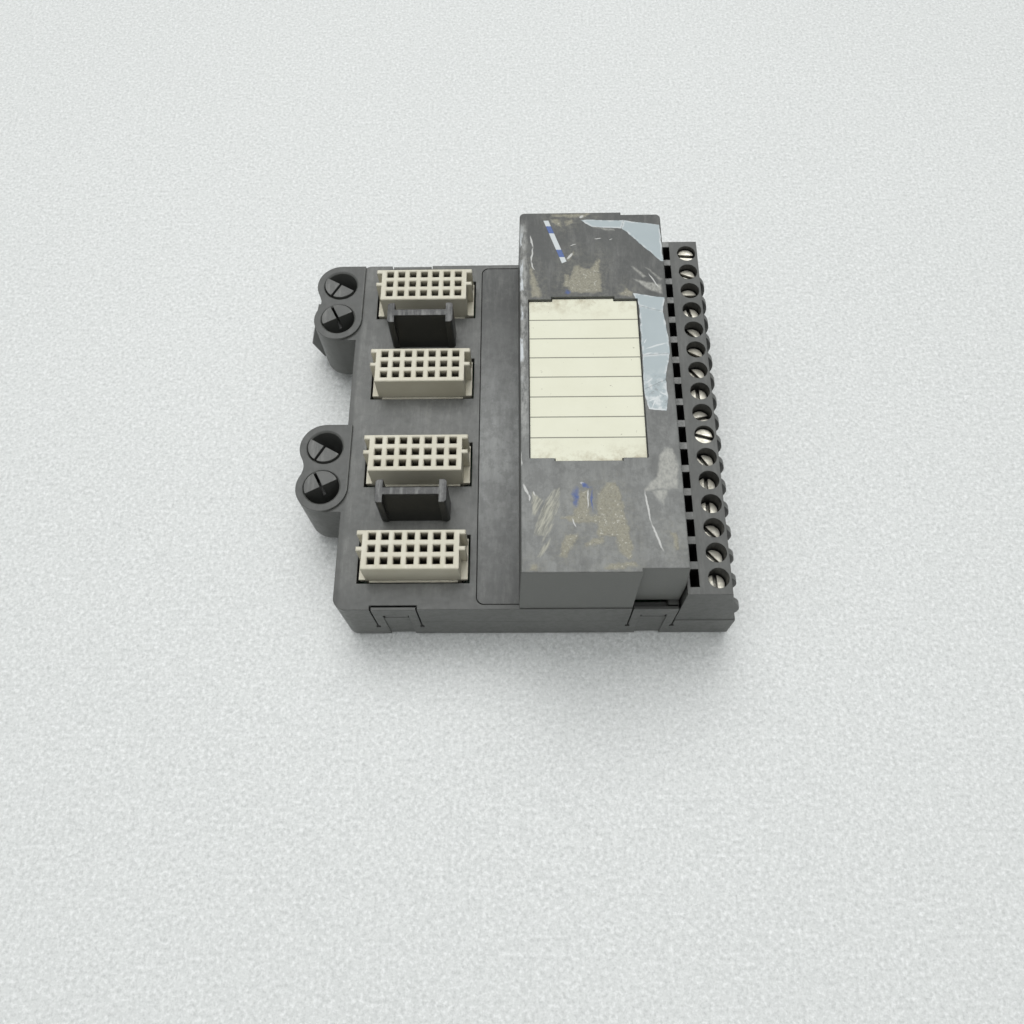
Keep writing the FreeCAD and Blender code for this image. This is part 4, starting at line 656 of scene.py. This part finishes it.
def photo_camera():
    """Camera at the photograph's place and turn."""
    level_cos = math.cos(CAMERA_PITCH)
    ahead_x = math.sin(CAMERA_YAW) * level_cos
    ahead_y = math.cos(CAMERA_YAW) * level_cos
    ahead = Vector((ahead_x, ahead_y, -math.sin(CAMERA_PITCH)))
    level = Vector((math.cos(CAMERA_YAW), -math.sin(CAMERA_YAW), 0.0))
    above = level.cross(ahead)
    right = math.cos(CAMERA_ROLL) * level + math.sin(CAMERA_ROLL) * above
    up = math.cos(CAMERA_ROLL) * above - math.sin(CAMERA_ROLL) * level
    data = bpy.data.cameras.new("photo_camera")
    data.lens = CAMERA_LENS
    data.sensor_width = SENSOR_WIDTH
    data.clip_start, data.clip_end = CAMERA_CLIP
    camera = bpy.data.objects.new("photo_camera", data)
    camera.matrix_world = Matrix.Translation(CAMERA_PLACE) @ Matrix((right, up, -ahead)).transposed().to_4x4()
    bpy.context.scene.collection.objects.link(camera)
    bpy.context.scene.camera = camera


def soft_lamp(name, place, aim, size, power):
    """Square lamp turned to a point."""
    data = bpy.data.lights.new(name, "AREA")
    data.size = size
    data.energy = power
    lamp = bpy.data.objects.new(name, data)
    lamp.location = place
    lamp.rotation_euler = (Vector(aim) - Vector(place)).to_track_quat("-Z", "Y").to_euler()
    bpy.context.scene.collection.objects.link(lamp)


def studio():
    """Pale floor, a sky that is brightest overhead and one soft lamp behind and above."""
    bpy.ops.mesh.primitive_plane_add(size=FLOOR_SIZE, location=(0.0, 0.0, FLOOR_HEIGHT))
    floor = bpy.context.object
    floor.name = "floor"
    floor.data.materials.append(floor_finish())
    soft_lamp("lamp_back", LAMP_PLACE, (0.0, 0.0, 0.0), LAMP_SIZE, LAMP_POWER)
    world = bpy.data.worlds.new("sky")
    bpy.context.scene.world = world
    world.use_nodes = True
    tree = world.node_tree
    background = tree.nodes["Background"]
    path = add(tree, "ShaderNodeLightPath").outputs
    seen = calc(tree, "MAXIMUM", path["Is Camera Ray"], path["Is Glossy Ray"])
    seen = calc(tree, "MAXIMUM", seen, path["Is Transmission Ray"])
    height = parts_of(tree, add(tree, "ShaderNodeTexCoord").outputs["Generated"])[2]
    glow = product(tree, [height, height, 2 * SKY_LIGHT])
    inputs = {"Value": seen, "To Min": glow, "To Max": SKY_SEEN}
    feed(tree, background.inputs["Color"], SKY_TINT)
    feed(tree, background.inputs["Strength"], add(tree, "ShaderNodeMapRange", inputs).outputs["Result"])


photo_camera()
studio()

dress(["base_tray", "top_housing"], case_finish())
dress(["field_cover"], cover_finish())
dress(["label_card"], card_finish(*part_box("label_card")))
dress(["terminal_strip"], strip_finish())
socket_look = {"dust": SOCKET_DUST, "roughness": 0.45, "dusty": 0.6, "worn": 0.7, "gap": (0.0030, 0.25, 0.08)}
socket_plastic = moulded("socket_plastic", *SOCKET_BEIGES, **socket_look)
dress(named("socket_connector"), socket_plastic[0].material)
# The posts' pale tops are part dust and part a painted sheen.
post_look = {"dust": POST_DUST_AND_SHEEN, "roughness": 0.30, "dusty": 0.8, "worn": 0.30}
post_plastic = moulded("post_plastic", *POST_BLACKS, **post_look)
dress(named("guide_post"), post_plastic[0].material)
key_plastic = moulded("key_plastic", *KEY_GREYS, worn=0.6)
dress(named("coding_key"), key_plastic[0].material)
nickel = metal("screw_plating", *SCREW_TINTS, shine=0.55, gap=(0.0010, 0.70, 0.44))
dress(named("terminal_screw"), nickel)
dress(named("wire_clamp"), metal("clamp_plating", *CLAMP_TINTS))
brass = metal("contact_brass", *BRASS_TINTS)
dress(["terminal_cages"] + named("socket_contacts"), brass)
dress(["circuit_board"], board_finish())

bpy.context.scene.view_settings.view_transform = "Standard"
